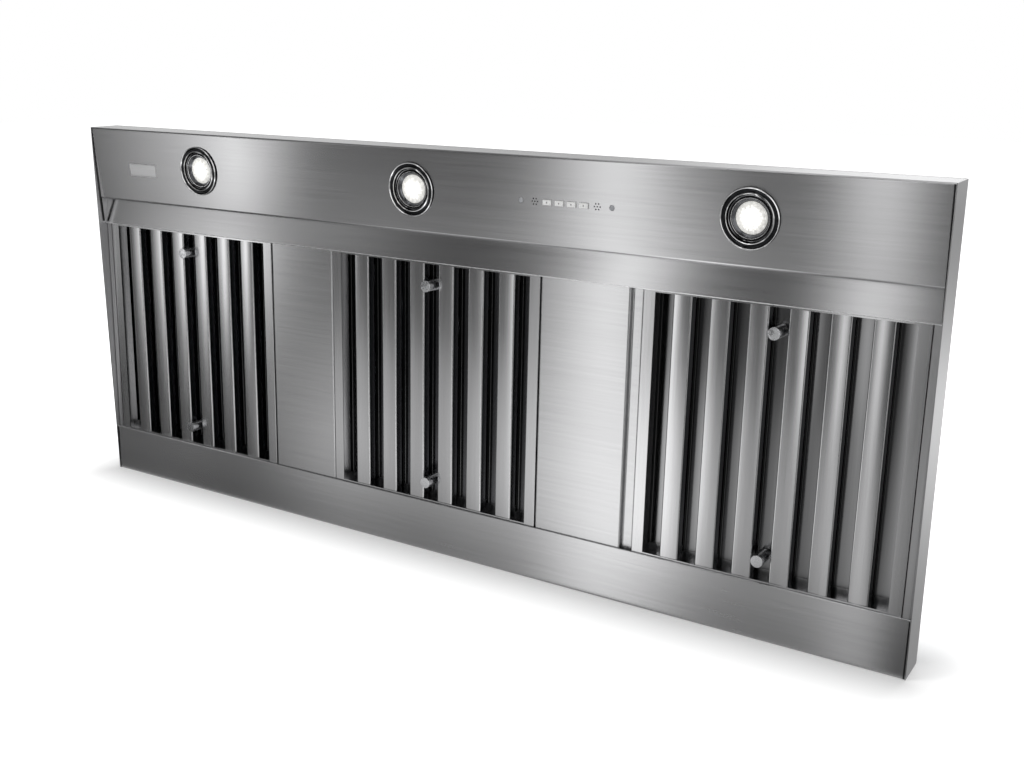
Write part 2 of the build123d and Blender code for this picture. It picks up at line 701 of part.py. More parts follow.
def scroll():
    """Casing round one impeller, open at the outlet, with a rolled inlet at each side."""
    casing = along_x(scroll_outline(), SCROLL_WIDTH)
    hollow = along_x(scroll_hollow(), SCROLL_WIDTH - 2 * SCROLL_SHEET)
    inlet = Rot(0, 90, 0) * Cylinder(INLET_RADIUS, SCROLL_WIDTH + CUT)
    half, radius = SCROLL_WIDTH / 2, INLET_RADIUS
    wide, end = radius + INLET_RING, half + INLET_RING
    ring = turned(
        [(radius, half), (wide, end), (wide + INLET_RING_SHEET, end), (radius + INLET_RING_SHEET, half)]
    )
    casing = casing - hollow - inlet
    for side in (-1, 1):
        casing += Rot(0, side * 90, 0) * ring
    return casing


def at_axis(piece, x=0.0):
    return Pos(x, AXIS_Y, AXIS_Z) * piece


def impeller_blade():
    """One flat blade that leans forward between the inner and outer radius."""
    inner, outer = IMPELLER_INNER_RADIUS + BLADE_INSET, IMPELLER_RADIUS - BLADE_INSET - BLADE_SHEET
    lean = radians(BLADE_LEAN)
    reach = sqrt(outer ** 2 - (inner * sin(lean)) ** 2) - inner * cos(lean)
    blade = Pos(reach / 2, 0, 0) * Box(reach, BLADE_SHEET, IMPELLER_WIDTH)
    return Pos(inner, 0, 0) * Rot(0, 0, BLADE_LEAN) * blade


def impeller():
    """Double-inlet wheel: blades round a centre disc, a ring at each end and a hub."""
    half = IMPELLER_WIDTH / 2
    blade = impeller_blade()
    wheel = Cylinder(IMPELLER_RADIUS, DISC_SHEET) + Cylinder(HUB_RADIUS, HUB_LENGTH)
    ring = Cylinder(IMPELLER_RADIUS, RING_SHEET) - Cylinder(IMPELLER_INNER_RADIUS, RING_SHEET)
    wheel += [Pos(0, 0, side * (half - RING_SHEET / 2)) * ring for side in (-1, 1)]
    wheel += [Rot(0, 0, FULL_TURN * i / BLADES) * blade for i in range(BLADES)]
    wheel -= Cylinder(SHAFT_RADIUS, HUB_LENGTH + CUT)
    return Rot(0, 90, 0) * wheel


def rotor_shaft():
    """Through the motor and both hubs, with bevelled ends."""
    length = 2 * (SCROLL_X + HUB_LENGTH)
    shaft = Cylinder(SHAFT_RADIUS, length)
    return Rot(0, 90, 0) * chamfer(shaft.edges().filter_by(GeomType.CIRCLE), SHAFT_EDGE)


def motor():
    """Turned can with stepped end bells and a bearing boss at each end."""
    half, end = MOTOR_LENGTH / 2, MOTOR_LENGTH / 2 + MOTOR_BOSS
    bore, boss = SHAFT_RADIUS + SHAFT_FIT, MOTOR_BOSS_RADIUS
    shoulder, bell = MOTOR_RADIUS - MOTOR_SHOULDER, half - MOTOR_END_BELL
    upper = [(bore, end), (boss, end), (boss, half), (shoulder, half), (MOTOR_RADIUS, bell)]
    lower = [(radius, -level) for radius, level in reversed(upper)]
    return Rot(0, 90, 0) * turned(upper + lower)


def motor_bracket():
    """Strap under the motor with legs up to the top sheet and feet that turn out."""
    inner = MOTOR_RADIUS + STRAP_FIT
    outer = inner + STRAP_SHEET
    top = HOUSING_TOP - AXIS_Z
    cradle = Circle(outer) + Pos(0, top / 2) * Rectangle(2 * outer, top)
    cradle -= Circle(inner) + Pos(0, top / 2) * Rectangle(2 * inner, top)
    for side in (-1, 1):
        foot = Rectangle(STRAP_FOOT, STRAP_SHEET)
        cradle += Pos(side * (outer + STRAP_FOOT / 2 - STRAP_SHEET), top - STRAP_SHEET / 2) * foot
    return along_x(cradle, STRAP_WIDTH)


# ---------------------------------------------------------------- duct and damper

def transition_body(shrink):
    """Loft from a rounded rectangle on the top sheet to the round collar."""
    base = RectangleRounded(
        TRANSITION_LENGTH - 2 * shrink, TRANSITION_WIDTH - 2 * shrink, TRANSITION_CORNER - shrink
    )
    rise = COLLAR_BASE - TOP_SURFACE
    return loft([base, Pos(0, 0, rise) * Circle(DUCT_RADIUS - shrink)])


def duct_transition():
    """Rectangle-to-round transition with its foot flange, round collar and damper stop."""
    rise, flange = COLLAR_BASE - TOP_SURFACE, 2 * TRANSITION_FLANGE
    foot = Rectangle(TRANSITION_LENGTH + flange, TRANSITION_WIDTH + flange)
    inner, outer, end = DUCT_RADIUS - DUCT_SHEET, DUCT_RADIUS, rise + COLLAR_LENGTH
    stop, seat = inner - FLAP_SEAT, FLAP_LEVEL - TOP_SURFACE - FLAP_ABOVE_SEAT - KNUCKLE_RADIUS
    under = seat - DUCT_SHEET
    collar = turned(
        [
            (inner, rise), (outer, rise), (outer, end), (inner, end),
            (inner, seat), (stop, seat), (stop, under), (inner, under),
        ]
    )
    body = transition_body(0) + extrude(foot, amount=DUCT_SHEET) - transition_body(DUCT_SHEET)
    pin = Rot(90, 0, 0) * Cylinder(SPINDLE_RADIUS, 2 * (DUCT_RADIUS + CUT))
    body = body + collar - Pos(0, 0, FLAP_LEVEL - TOP_SURFACE) * pin
    return Pos(0, DUCT_Y, TOP_SURFACE) * body


def damper_spindle():
    """Rod across the collar that carries both flaps."""
    rod = Rot(90, 0, 0) * Cylinder(SPINDLE_RADIUS, 2 * DUCT_RADIUS)
    return Pos(0, DUCT_Y, FLAP_LEVEL) * rod


def damper_flap(side):
    """Half disc with every other knuckle rolled round the spindle."""
    level = -KNUCKLE_RADIUS + FLAP_SHEET / 2
    disc = Cylinder(FLAP_RADIUS, FLAP_SHEET)
    root = KNUCKLE_RADIUS + KNUCKLE_GAP
    keep = Pos(side * FLAP_RADIUS, 0, 0) * Box(2 * (FLAP_RADIUS - root), 2 * FLAP_RADIUS, 2 * FLAP_SHEET)
    flap = Pos(0, 0, level) * (disc & keep)
    span = 2 * (FLAP_RADIUS - KNUCKLE_MARGIN) / KNUCKLES
    length, reach = span - 2 * KNUCKLE_GAP, root + CUT
    tube = Rot(90, 0, 0) * Cylinder(KNUCKLE_RADIUS, length)
    leaf = Pos(side * reach / 2, 0, level) * Box(reach, length, FLAP_SHEET)
    for i in range(KNUCKLES):
        if i % 2 == (side > 0):
            flap += Pos(0, (i - (KNUCKLES - 1) / 2) * span, 0) * (tube + leaf)
    flap -= Rot(90, 0, 0) * Cylinder(SPINDLE_RADIUS + KNUCKLE_FIT, 2 * DUCT_RADIUS)
    return Pos(0, DUCT_Y, FLAP_LEVEL) * flap


# ---------------------------------------------------------------- junction box

def junction_box():
    """Folded box on the top sheet, open to the front, with a knockout in its top and its foot."""
    wall = 2 * HOUSING_SHEET
    shell = extrude(Rectangle(JUNCTION_LENGTH, JUNCTION_HEIGHT), amount=JUNCTION_WIDTH)
    hollow = extrude(Rectangle(JUNCTION_LENGTH - wall, JUNCTION_HEIGHT - wall), amount=JUNCTION_WIDTH)
    bore = Rot(90, 0, 0) * Cylinder(KNOCKOUT_RADIUS, JUNCTION_HEIGHT + CUT)
    return at_junction(shell - Pos(0, 0, HOUSING_SHEET) * hollow - Pos(0, 0, JUNCTION_WIDTH / 2) * bore)


def at_junction(piece):
    """The box's floor is its rear wall; its mouth faces the front edge of the hood."""
    rear = JUNCTION_Y + JUNCTION_WIDTH / 2
    return Pos(JUNCTION_X, rear, TOP_SURFACE + JUNCTION_HEIGHT / 2) * Rot(90, 0, 0) * piece


def junction_box_lid():
    """Plain lid over the box's mouth."""
    lid = extrude(Rectangle(JUNCTION_LENGTH, JUNCTION_HEIGHT), amount=HOUSING_SHEET)
    return at_junction(Pos(0, 0, JUNCTION_WIDTH) * lid)


# ---------------------------------------------------------------- all pieces

def tray_pieces():
    left_end = FILTER_X["left"] + FILTER_WIDTH / 2 + FILTER_SIDE_GAP
    centre_start = FILTER_X["centre"] - FILTER_WIDTH / 2 - FILTER_SIDE_GAP
    centre_end = FILTER_X["centre"] + FILTER_WIDTH / 2 + FILTER_SIDE_GAP
    right_start = FILTER_X["right"] - FILTER_WIDTH / 2 - FILTER_SIDE_GAP
    return {
        "tray_pan": tray_pan(),
        "control_panel": control_panel(),
        "rear_band": rear_band(),
        "front_filter_rail": front_filter_rail(),
        "rear_filter_rail": rear_filter_rail(),
        "spacer_left": spacer(left_end, centre_start, SPACER_LEDGES["left"]),
        "spacer_right": spacer(centre_end, right_start, SPACER_LEDGES["right"]),
        "side_ledge_left": side_ledge(-1),
        "side_ledge_right": side_ledge(1),
    }


def filter_pieces():
    pieces = {}
    made = {
        "frame": filter_frame(), "front_baffles": front_baffles(),
        "rear_baffles": rear_baffles(), "knobs": knobs(),
    }
    springs = filter_springs()
    for name, x in FILTER_X.items():
        for part, shape in made.items():
            pieces[f"filter_{name}_{part}"] = FILTER_PLANE.location * Pos(x, 0, 0) * shape
        pieces[f"filter_{name}_springs"] = Pos(x, 0, 0) * springs
    return pieces


def light_pieces():
    made = {"trim": light_trim(), "ring": light_ring(), "lamp": light_lamp(), "can": light_can()}
    return {f"light_{name}_{part}": at_light(shape, name) for name in LIGHT_X for part, shape in made.items()}


def control_pieces():
    pieces = {f"button_{i + 1}": at_controls(push_button(), x) for i, x in enumerate(button_places())}
    pieces["control_board"] = at_controls(control_board(), CONTROL_X)
    pieces["control_cover"] = at_controls(control_cover(), CONTROL_X)
    for name, x in indicator_places().items():
        pieces[f"indicator_{name}"] = at_controls(indicator_lens(), x)
    return pieces


def housing_pieces():
    return {
        "housing_shell": housing_shell(),
        "housing_top": housing_top(),
        "junction_box": junction_box(),
        "junction_box_lid": junction_box_lid(),
    }


def blower_pieces():
    pieces = {
        "motor": at_axis(motor()),
        "motor_bracket": at_axis(motor_bracket()),
        "rotor_shaft": at_axis(rotor_shaft()),
    }
    casing, wheel = scroll(), impeller()
    for name, x in scroll_sides().items():
        pieces[f"scroll_{name}"] = at_axis(casing, x)
        pieces[f"impeller_{name}"] = at_axis(wheel, x)
    return pieces


def duct_pieces():
    return {
        "duct_transition": duct_transition(),
        "damper_spindle": damper_spindle(),
        "damper_flap_left": damper_flap(-1),
        "damper_flap_right": damper_flap(1),
    }


def main():
    os.makedirs("parts", exist_ok=True)
    pieces = {}
    for made in (
        tray_pieces(), filter_pieces(), light_pieces(), control_pieces(),
        housing_pieces(), blower_pieces(), duct_pieces(),
    ):
        pieces.update(made)
    for name, piece in pieces.items():
        export_step(STANDING * group(piece), f"parts/{name}.step")


main()
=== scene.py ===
import math

import bmesh
import bpy
import numpy as np
from bpy.props import FloatProperty, IntProperty, StringProperty
from mathutils import Matrix, Vector


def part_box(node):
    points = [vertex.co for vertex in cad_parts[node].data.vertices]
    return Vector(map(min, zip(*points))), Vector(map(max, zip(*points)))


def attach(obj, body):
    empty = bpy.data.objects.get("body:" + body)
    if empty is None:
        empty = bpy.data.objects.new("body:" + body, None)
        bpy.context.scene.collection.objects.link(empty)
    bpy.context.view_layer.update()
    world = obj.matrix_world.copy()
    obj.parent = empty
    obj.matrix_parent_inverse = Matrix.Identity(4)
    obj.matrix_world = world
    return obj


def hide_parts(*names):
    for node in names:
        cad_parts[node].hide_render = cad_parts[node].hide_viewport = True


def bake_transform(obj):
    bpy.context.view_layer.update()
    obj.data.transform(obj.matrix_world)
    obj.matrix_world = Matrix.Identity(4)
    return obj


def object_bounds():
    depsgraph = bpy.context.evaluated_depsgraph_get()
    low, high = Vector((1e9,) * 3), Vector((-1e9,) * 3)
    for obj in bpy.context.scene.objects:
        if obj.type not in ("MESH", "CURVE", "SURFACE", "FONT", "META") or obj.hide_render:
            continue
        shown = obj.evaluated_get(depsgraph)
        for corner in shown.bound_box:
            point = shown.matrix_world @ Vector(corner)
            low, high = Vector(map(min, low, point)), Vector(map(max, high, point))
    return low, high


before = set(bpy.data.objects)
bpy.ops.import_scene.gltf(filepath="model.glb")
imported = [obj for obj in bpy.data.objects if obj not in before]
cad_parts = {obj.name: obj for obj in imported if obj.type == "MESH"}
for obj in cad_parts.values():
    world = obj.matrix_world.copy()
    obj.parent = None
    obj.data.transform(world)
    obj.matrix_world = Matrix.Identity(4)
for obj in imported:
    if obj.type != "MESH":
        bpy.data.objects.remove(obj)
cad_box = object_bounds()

bl_info = {
    "name": "Range Hood Insert",
    "version": (1, 0, 0),
    "blender": (4, 5, 0),
    "location": "3D View > Sidebar > Hood Insert",
    "description": "Finishes and fine pieces of a stainless range hood insert with baffle filters",
    "category": "Object",
}

# ---------------- measures
# The insert was drawn hanging, in millimetres: x to the right, y to the rear, depth up from the rim. It
# stands on its rear wall.

MM = 0.001
ROOT = "insert"
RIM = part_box("control_panel")[0].y
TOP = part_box("control_panel")[1].z

# Planes that lean about x: where each starts and by how much it leans.
PANEL_START = (0.0, 0.0, 0.0)
PANEL_SLOPE = math.atan2(6.5, 112.5)
FILTER_FRONT = (0.0, 147.0, 15.333)
FILTER_SLOPE = 0.028573
BAND_LIP = (0.0, 498.0, 2.6)
BAND_SLOPE = math.atan2(2.6, 73.5)

# Directions that highlights on brushed sheet stretch along: up the insert and inwards, and sideways.
UPWARDS = (0, 0.6, 0.8)
SIDEWAYS = (1, 0, 0)

# Front filter rail's rolled lip: y and depth of its middle, its radius and how far it runs each way.
LIP_PLACE = (152.9, 13.15)
LIP_RADIUS = 0.75
LIP_END = 662.0

# Dark strips of painted shadow in the seams between the side walls and the ends of the panel and the rear
# band: x, depth, radius, and the run down each.
SEAM_SHADOW_X = 662.6
SEAM_SHADOW_DEPTH = 0.3
SEAM_SHADOW_RADIUS = 1.1
PANEL_RUN = (1.5, 150.0)
BAND_RUN = (1.0, 72.5)

# Baffle filters: centres, pitch and sheet of the channels, and for the front and rear channels their count,
# width, flange, bend radius, first and last y, depth of the face and which way the flanges point.
FILTER_PLACES = {"left": -479.15, "centre": -14.5, "right": 479.15}
BAFFLE_PITCH = 48.6
BAFFLE_SHEET = 0.8
FRONT_CHANNELS = (6, 25.0, 12.0, 2.2, 0.9, 356.1, 0.9, 1)
REAR_CHANNELS = (7, 24.4, 6.0, 1.6, 4.0, 341.0, 22.1, -1)
# Depths between which the bright face gives way to the flange's painted shade, in front and at the rear.
FRONT_SHADE_DEPTHS = (1.6, 3.0)
REAR_SHADE_DEPTHS = (20.6, 21.8)
# The rear face is painted darker on its left, painted shade: where that starts and ends across it, its least
# brightness and how much it gains.
REAR_SHADE = (-11.0, 11.0)
REAR_LEAST = 0.45
REAR_GAIN = 0.5

# Post knobs: the y of each, and a profile whose radii are measured from the knob's own.
KNOB_PLACES = (38.0, 319.0)
KNOB_PROFILE = [(-0.5, -12.9), (0.0, -12.4), (0.0, 0.0), (0.0, 20.0)]

# Leaf springs: y and depth of the arc's middle, its radius, the angles that it spans, sheet, half width,
# distance from the filter's middle, and the y of the foot and the crown.
SPRING_MIDDLE = (517.7, 24.0)
SPRING_RADIUS = 13.2
SPRING_ARC = (80, 280)
SPRING_SHEET = 0.5
SPRING_HALF = 7.0
SPRING_APART = 110.0

# Lights on the panel. Profiles are radius and depth, and the bezel's outer one is measured from its radius.
LIGHT_PLACES = {"left": (-433.5, 55.5), "centre": (-36.5, 55.5), "right": (441.5, 55.5)}
BEZEL_OUTER = [(0, 0), (0, -2.4), (-0.4, -3.1), (-0.9, -3.4), (-1.5, -3.0), (-2.2, -1.6),
               (-3.3, -0.9), (-4.5, -0.7), (-5.6, -1.1), (-6.3, -2.1)]
BEZEL_INNER = [(28.8, -2.9), (28.3, -2.6), (28.1, -1.2), (28.1, 9), (29, 9), (29, 0)]
GIMBAL = [(27.7, 5.2), (27.6, 2.2), (27.2, 0.8), (26.6, 0.6), (25.9, 1.4), (25.0, 1.6), (24.3, 1.0),
          (23.9, 0.3), (23.5, 0.3), (23.3, 1.0), (23.5, 1.9), (24.8, 2.8), (24.9, 5.2)]
REFLECTOR_BACK = [(8.0, 31.8), (8.0, 25.8), (21.0, 19.1), (24.4, 6.4)]
REFLECTOR_FRONT = [(24.2, 3.6), (23.5, 2.3), (22.9, 2.3), (22.2, 3.1), (21.4, 3.0)]
REFLECTOR_REACH = 0.6
REFLECTOR_DEPTHS = (4.6, 5.0)
# Depths between which a bright lip gives way to painted shade in the hollow.
BEZEL_LIP = (-2.6, -1.9)
GIMBAL_LIP = (0.5, 1.0)
# Lit glass: depth of its rim, height of its dome, of the petals round it and of the dimples inside them, the
# shares of its radius where petals start and dimples end, and the dimples' turn against the petals.
GLASS_RIM = 5.2
GLASS_DOME = 2.6
GLASS_PETAL = 0.55
GLASS_DIMPLE = 0.12
PETAL_FROM = 0.375
DIMPLE_TO = 1 / 3
DIMPLE_TURN = 0.7

# Controls on the panel.
CONTROL_Y = 57.0
CONTROL_X = 200.5
BUTTON_X = [CONTROL_X + (i - 1.5) * 17.4 for i in range(4)]
BUTTON_PROUD = 2.2
INDICATOR_X = {"left": CONTROL_X - 64.6, "right": CONTROL_X + 64.6}
PIP = [(0.95, 0.3), (0.95, -0.15), (0.5, -0.3)]
LENS = [(4.4, 2.5), (4.4, 1.5), (3.4, 1.5), (3.4, -0.2), (2.6, -0.8), (1.2, -0.95)]

# Badge plate on the panel: its middle, its corner, and its steps as inset and depth.
BADGE_PLACE = (-665.15 + 109.5, 62.0)
BADGE_CORNER = 1.6
BADGE_STEPS = [(0.0, 0.0), (0.0, -0.6), (0.5, -1.0), (1.3, -1.0), (1.7, -0.7), (2.4, -0.7)]

# Housing's top sheet: its height, the screws in its edges with a profile measured from the head's radius,
# the duct's centre, and the collar's rolled bead.
HOUSING_TOP = 216.0
SCREW_HEAD = [(1.2, -0.4), (1.2, 0.6), (0.0, 0.6), (0.0, 3.0), (-0.6, 3.5)]
SCREW_PLACES = [(x, y) for x in (-595.0, 595.0) for y in range(62, 562, 83)]
SCREW_PLACES += [(x, y) for x in range(-500, 501, 125) for y in (52.0, 561.0)]
DUCT_PLACE = (0.0, 300.0)
COLLAR_RADIUS = 125.5
BEAD_HEIGHT = 284.0
BEAD_RADIUS = 1.8

# ---------------- studio, in metres

# Footprints on the floor: half the tray's own depth, half the housing's width, the duct's height behind it,
# and how many times as fast the housing's painted shadow ends.
TRAY_REACH = 0.03
HOUSING_HALF = 0.605
DUCT_RISE = 0.079
HOUSING_PACE = 4.0
# Floor's white lift, lowered near the insert as painted shadow: at the insert's foot, away, and how far away.
FLOOR_FOOT = 0.1
FLOOR_AWAY = 0.86
FLOOR_SHADE = 0.12

# Sweep in front of the steel: where its flat starts and ends, radius of its bend, height of its wall, its
# two ends across, and the point behind the insert that its lines fan out from: its x, and how far behind the
# front.
SWEEP_START = -0.004
SWEEP_FLAT = 1.1
SWEEP_BEND = 0.4
SWEEP_WALL = 3.2
SWEEP_ENDS = (-0.95, 0.9)
SWEEP_FRONT = -0.155
SWEEP_LIFT = 0.0006
FAN_X = 0.945
FAN_BACK = 1.31
# Glow of the sweep. Boxes and dips are strength, place and half width: on the table near the insert, low on
# the wall, high on it, and all the way up. Fades are two places along the sweep or across it, after a share
# where the glow only dims.
SWEEP_DARK = 0.07
TABLE_DARK = 0.015
TABLE_GLOW = 0.7
TABLE_END = (0.9, 1.3)
TABLE_LEFT = (-0.42, -0.15)
TABLE_RIGHT = (0.36, 0.33, 0.5)
TABLE_DIP = ((0.2, -0.03, 0.08),)
FOOT_SHADE = (0.04, 0.3)
FOOT_LEAST = 0.36
WALL_START = (1.05, 1.4)
WALL_DIM = (0.3, 2.3, 2.9)
WALL_DIP = ((0.4, 1.6, 0.14),)
HIGH_START = (1.75, 2.15)
RIGHT_END = (0.6, 0.61, 0.66)
TABLE_FOOT = ((0.6, 0.33, 0.07),)
TABLE_BOXES = ((0.72, 0.25, 0.08), (0.25, 0.595, 0.04))
LOW_BOXES = ((2.5, -0.365, 0.072), (1.1, -0.51, 0.14), (0.4, 0.19, 0.07))
TOP_BOXES = ((0.58, -0.47, 0.11), (0.45, -0.2, 0.1))
LEANING_BOX = ((1.95, 0.26, 0.058),)
LEAN = 0.025
WALL_BOX = ((1.9, 0.583, 0.038),)

# Dome: its radius, its glow in front, what it gains behind and the directions between which it does, the
# softness of a box's foot and head, and its soft boxes: direction from the front towards the right, half
# width, lowest and highest elevation, all in degrees, and strength.
DOME_RADIUS = 5.0
DOME_FRONT = 0.1
DOME_BEHIND = 0.4
DOME_TURN = (70, 125)
BOX_FOOT = 4
BOX_HEAD = 6
DOME_BOXES = ((48, 9, 0, 55, 1.3), (88, 26, -2, 55, 1.3), (186, 14, -5, 40, 1.2),
              (-128, 24, -5, 40, 0.4), (0, 120, 64, 92, 1.0))

# Ground card: its half width, how much finer it is in its middle, its height, its glow and what it gains
# behind, where that is palest and how wide it is, and where it starts.
GROUND_REACH = 4.9
GROUND_FINE = 3.4
GROUND_LIFT = 0.0003
GROUND_GLOW = 0.36
GROUND_BEHIND = 0.65
GROUND_PALE = (1.0, 0.8)
GROUND_START = (-0.3, 0.5)

# World light for what isn't seen, and for what is.
WORLD_LIGHT = 0.45
WORLD_SEEN = 1.0

# Lamps: name, place, aim, width and height, and watts.
LAMPS = (
    ("key", (-1.7, -1.9, 2.1), (0, 0, 0.3), (1.2, 1.6), 30),
    ("side", (2.6, -0.4, 1.3), (0.5, 0, 0.3), (0.9, 1.4), 12),
    ("rear", (0.6, 2.6, 2.2), (0, 0, 0.3), (1.8, 1.2), 30),
)

# Camera, worked out from the four corners of the face: where it stands and its three directions.
CAMERA_PLACE = (0.94545, -1.4541, 0.7135)
CAMERA_RIGHT = Vector((0.84684, 0.53182, 0.00602))
CAMERA_DOWN = Vector((0.15102, -0.22958, -0.96150))
CAMERA_FORWARD = Vector((-0.50996, 0.81514, -0.27473))
CAMERA_LENS = 42.76
CAMERA_SENSOR = 36.0


# ---------------- sizes and colours

def millimetres(name, description, default, low, high):
    """A property that holds a length: given in millimetres, kept in metres."""
    limits = {"default": default * MM, "min": low * MM, "max": high * MM}
    return FloatProperty(name=name, description=description, unit="LENGTH", **limits)


def hex_colour(name, description, default):
    """A property that holds a colour as a hex value."""
    return StringProperty(name=name, description=description + ", as a hex value", default=default)


class HoodSizes(bpy.types.PropertyGroup):
    bezel_radius: millimetres("Bezel radius", "Outer radius of a light's bezel", 36.2, 31, 37)
    lamp_glass_radius: millimetres("Lamp glass radius", "Radius of the lit glass", 19.6, 10, 21)
    lamp_facets: IntProperty(
        name="Lamp facets", description="Facets round the lit glass", default=12, min=6, max=24)
    knob_radius: millimetres("Knob radius", "Radius of a filter's post knob", 7.8, 5, 8)
    badge_length: millimetres("Badge length", "Length of the bare badge plate", 57.0, 20, 80)
    badge_height: millimetres("Badge height", "Height of the bare badge plate", 20.0, 8, 30)
    screw_radius: millimetres("Screw head radius", "Radius of a hexagon screw head", 4.2, 2, 6)


class HoodColours(bpy.types.PropertyGroup):
    steel: hex_colour("Steel", "Colour of the brushed stainless sheet", "#C3C3C4")
    baffle: hex_colour("Baffle steel", "Colour of the baffles", "#C3C3C4")
    polished: hex_colour("Turned steel", "Colour of the knobs", "#D2D3D5")
    zinc: hex_colour("Galvanised sheet", "Colour of the hidden housing", "#AEB4B8")
    floor: hex_colour("Floor", "Colour of the floor", "#F4F4F4")


def size(name):
    """A size that the user can change, in millimetres."""
    return getattr(bpy.context.scene.hood_sizes, name) / MM


def colours():
    return bpy.context.scene.hood_colours


# ---------------- materials
# A Map Range node takes its value as input 0, the range it comes from as 1 and 2, and the one it goes to as
# 3 and 4. Noise mostly lies in this range.
NOISE = {1: 0.3, 2: 0.7}
# Stage surfaces mirror nothing, and what they shine is white.
SHINING = {"Specular IOR Level": 0.0, "Emission Color": (1, 1, 1, 1)}


def linear(text):
    """An sRGB hex value as linear red, green, blue and alpha."""
    values = [int(text[i:i + 2], 16) / 255 for i in (1, 3, 5)]
    return [v / 12.92 if v <= 0.04045 else ((v + 0.055) / 1.055) ** 2.4 for v in values] + [1.0]


def node(tree, kind, inputs=None, **settings):
    """Adds a shader node. inputs maps a socket's name or number to a value or to another node's output."""
    made = tree.nodes.new("ShaderNode" + kind)
    for key, value in settings.items():
        setattr(made, key, value)
    for key, value in (inputs or {}).items():
        socket = made.inputs[key]
        if isinstance(value, bpy.types.NodeSocket):
            tree.links.new(value, socket)
        else:
            socket.default_value = value
    return made


def shader(name, base, metallic, roughness, **more):
    """A material with its main shader's plain values set, and its tree and shader."""
    material = bpy.data.materials.new(name)
    material.use_nodes = True
    tree = material.node_tree
    tree.nodes.clear()
    plain = {"Base Color": linear(base), "Metallic": metallic, "Roughness": roughness, **more}
    surface = node(tree, "BsdfPrincipled", plain)
    out = node(tree, "OutputMaterial")
    tree.links.new(surface.outputs["BSDF"], out.inputs["Surface"])
    return material, tree, surface


def grained(tree, scale, detail=5.0, rough=0.62):
    """Noise on object coordinates, stretched by a scale per metre along each axis."""
    where = node(tree, "TexCoord").outputs["Object"]
    wide = node(tree, "Mapping", {"Vector": where, "Scale": scale}).outputs["Vector"]
    noise = {"Vector": wide, "Scale": 1.0, "Detail": detail, "Roughness": rough}
    return node(tree, "TexNoise", noise).outputs["Fac"]


def tinted(tree, base, share, factor):
    """The base colour, varied up and down by a share with a factor from 0 to 1."""
    low = [c * (1 - share) for c in linear(base)[:3]] + [1.0]
    high = [min(1.0, c * (1 + share)) for c in linear(base)[:3]] + [1.0]
    return node(tree, "Mix", {"Factor": factor, 6: low, 7: high}, data_type="RGBA").outputs[2]


def painted_shade(tree, dark, bright):
    """Painted shade: the dark colour where the piece's painted-light mask is 0, and the bright one where it
    is 1.
    """
    painted_light = node(tree, "Attribute", attribute_name="painted_light").outputs["Fac"]
    mixed = {"Factor": painted_light, 6: linear(dark), 7: bright}
    return node(tree, "Mix", mixed, data_type="RGBA").outputs[2]


def brushed(name, base, grain, tangent, roughness, spread, anisotropy, flange_shade=None):
    """Type 304 stainless sheet with a belt-brushed finish. The grain is a quarter of a millimetre wide on
    the real sheet and is drawn about ten times as coarse, two or three pixels, so that it shows. It gives
    faint streaks one way and soft reflections, stretched along the tangent. Handling leaves patches that are
    a little duller, about 30 cm across. Where a flange shade colour is given, only the faces keep the brushed
    colour: the flanges behind them are painted that dark colour, painted shade."""
    material, tree, surface = shader(name, base, 1.0, roughness, Anisotropic=anisotropy)
    fine = grained(tree, grain, 1.0, 0.5)
    coarse = grained(tree, [g * 0.4 for g in grain], 2.0, 0.5)
    smudge = grained(tree, (3.1, 3.1, 4.3), 3.0, 0.55)
    both = node(tree, "Math", {0: fine, 1: coarse}, operation="ADD").outputs[0]
    half = node(tree, "Math", {0: both, 1: 0.5}, operation="MULTIPLY").outputs[0]
    streaks = node(tree, "MapRange", {0: half, **NOISE, 3: roughness - spread, 4: roughness + spread})
    marks = node(tree, "MapRange", {0: smudge, **NOISE, 3: -0.02, 4: 0.03})
    total = node(tree, "Math", {0: streaks.outputs[0], 1: marks.outputs[0]}, operation="ADD")
    bump = node(tree, "Bump", {"Height": half, "Strength": 0.05, "Distance": 0.00002})
    turn = node(tree, "CombineXYZ", {"X": tangent[0], "Y": tangent[1], "Z": tangent[2]})
    tone = node(tree, "MapRange", {0: half, **NOISE, 3: 0, 4: 1})
    colour = tinted(tree, base, 0.045, tone.outputs[0])
    if flange_shade:
        colour = painted_shade(tree, flange_shade, colour)
    tree.links.new(total.outputs[0], surface.inputs["Roughness"])
    tree.links.new(colour, surface.inputs["Base Color"])
    tree.links.new(bump.outputs["Normal"], surface.inputs["Normal"])
    tree.links.new(turn.outputs["Vector"], surface.inputs["Tangent"])
    return material


def polished(name, base, roughness, hollow_shade=None):
    """Chromium-plated turned steel, buffed: a clear dark and bright reflection with faint turning haze.
    Where a hollow shade colour is given, lips stay bright and the hollows between them are painted that
    dark colour, painted shade."""
    material, tree, surface = shader(name, base, 1.0, roughness)
    haze = grained(tree, (240, 240, 240), 3.0)
    gloss = node(tree, "MapRange", {0: haze, **NOISE, 3: roughness * 0.7, 4: roughness * 1.5})
    tree.links.new(gloss.outputs[0], surface.inputs["Roughness"])
    if hollow_shade:
        tree.links.new(painted_shade(tree, hollow_shade, linear(base)), surface.inputs["Base Color"])
    return material


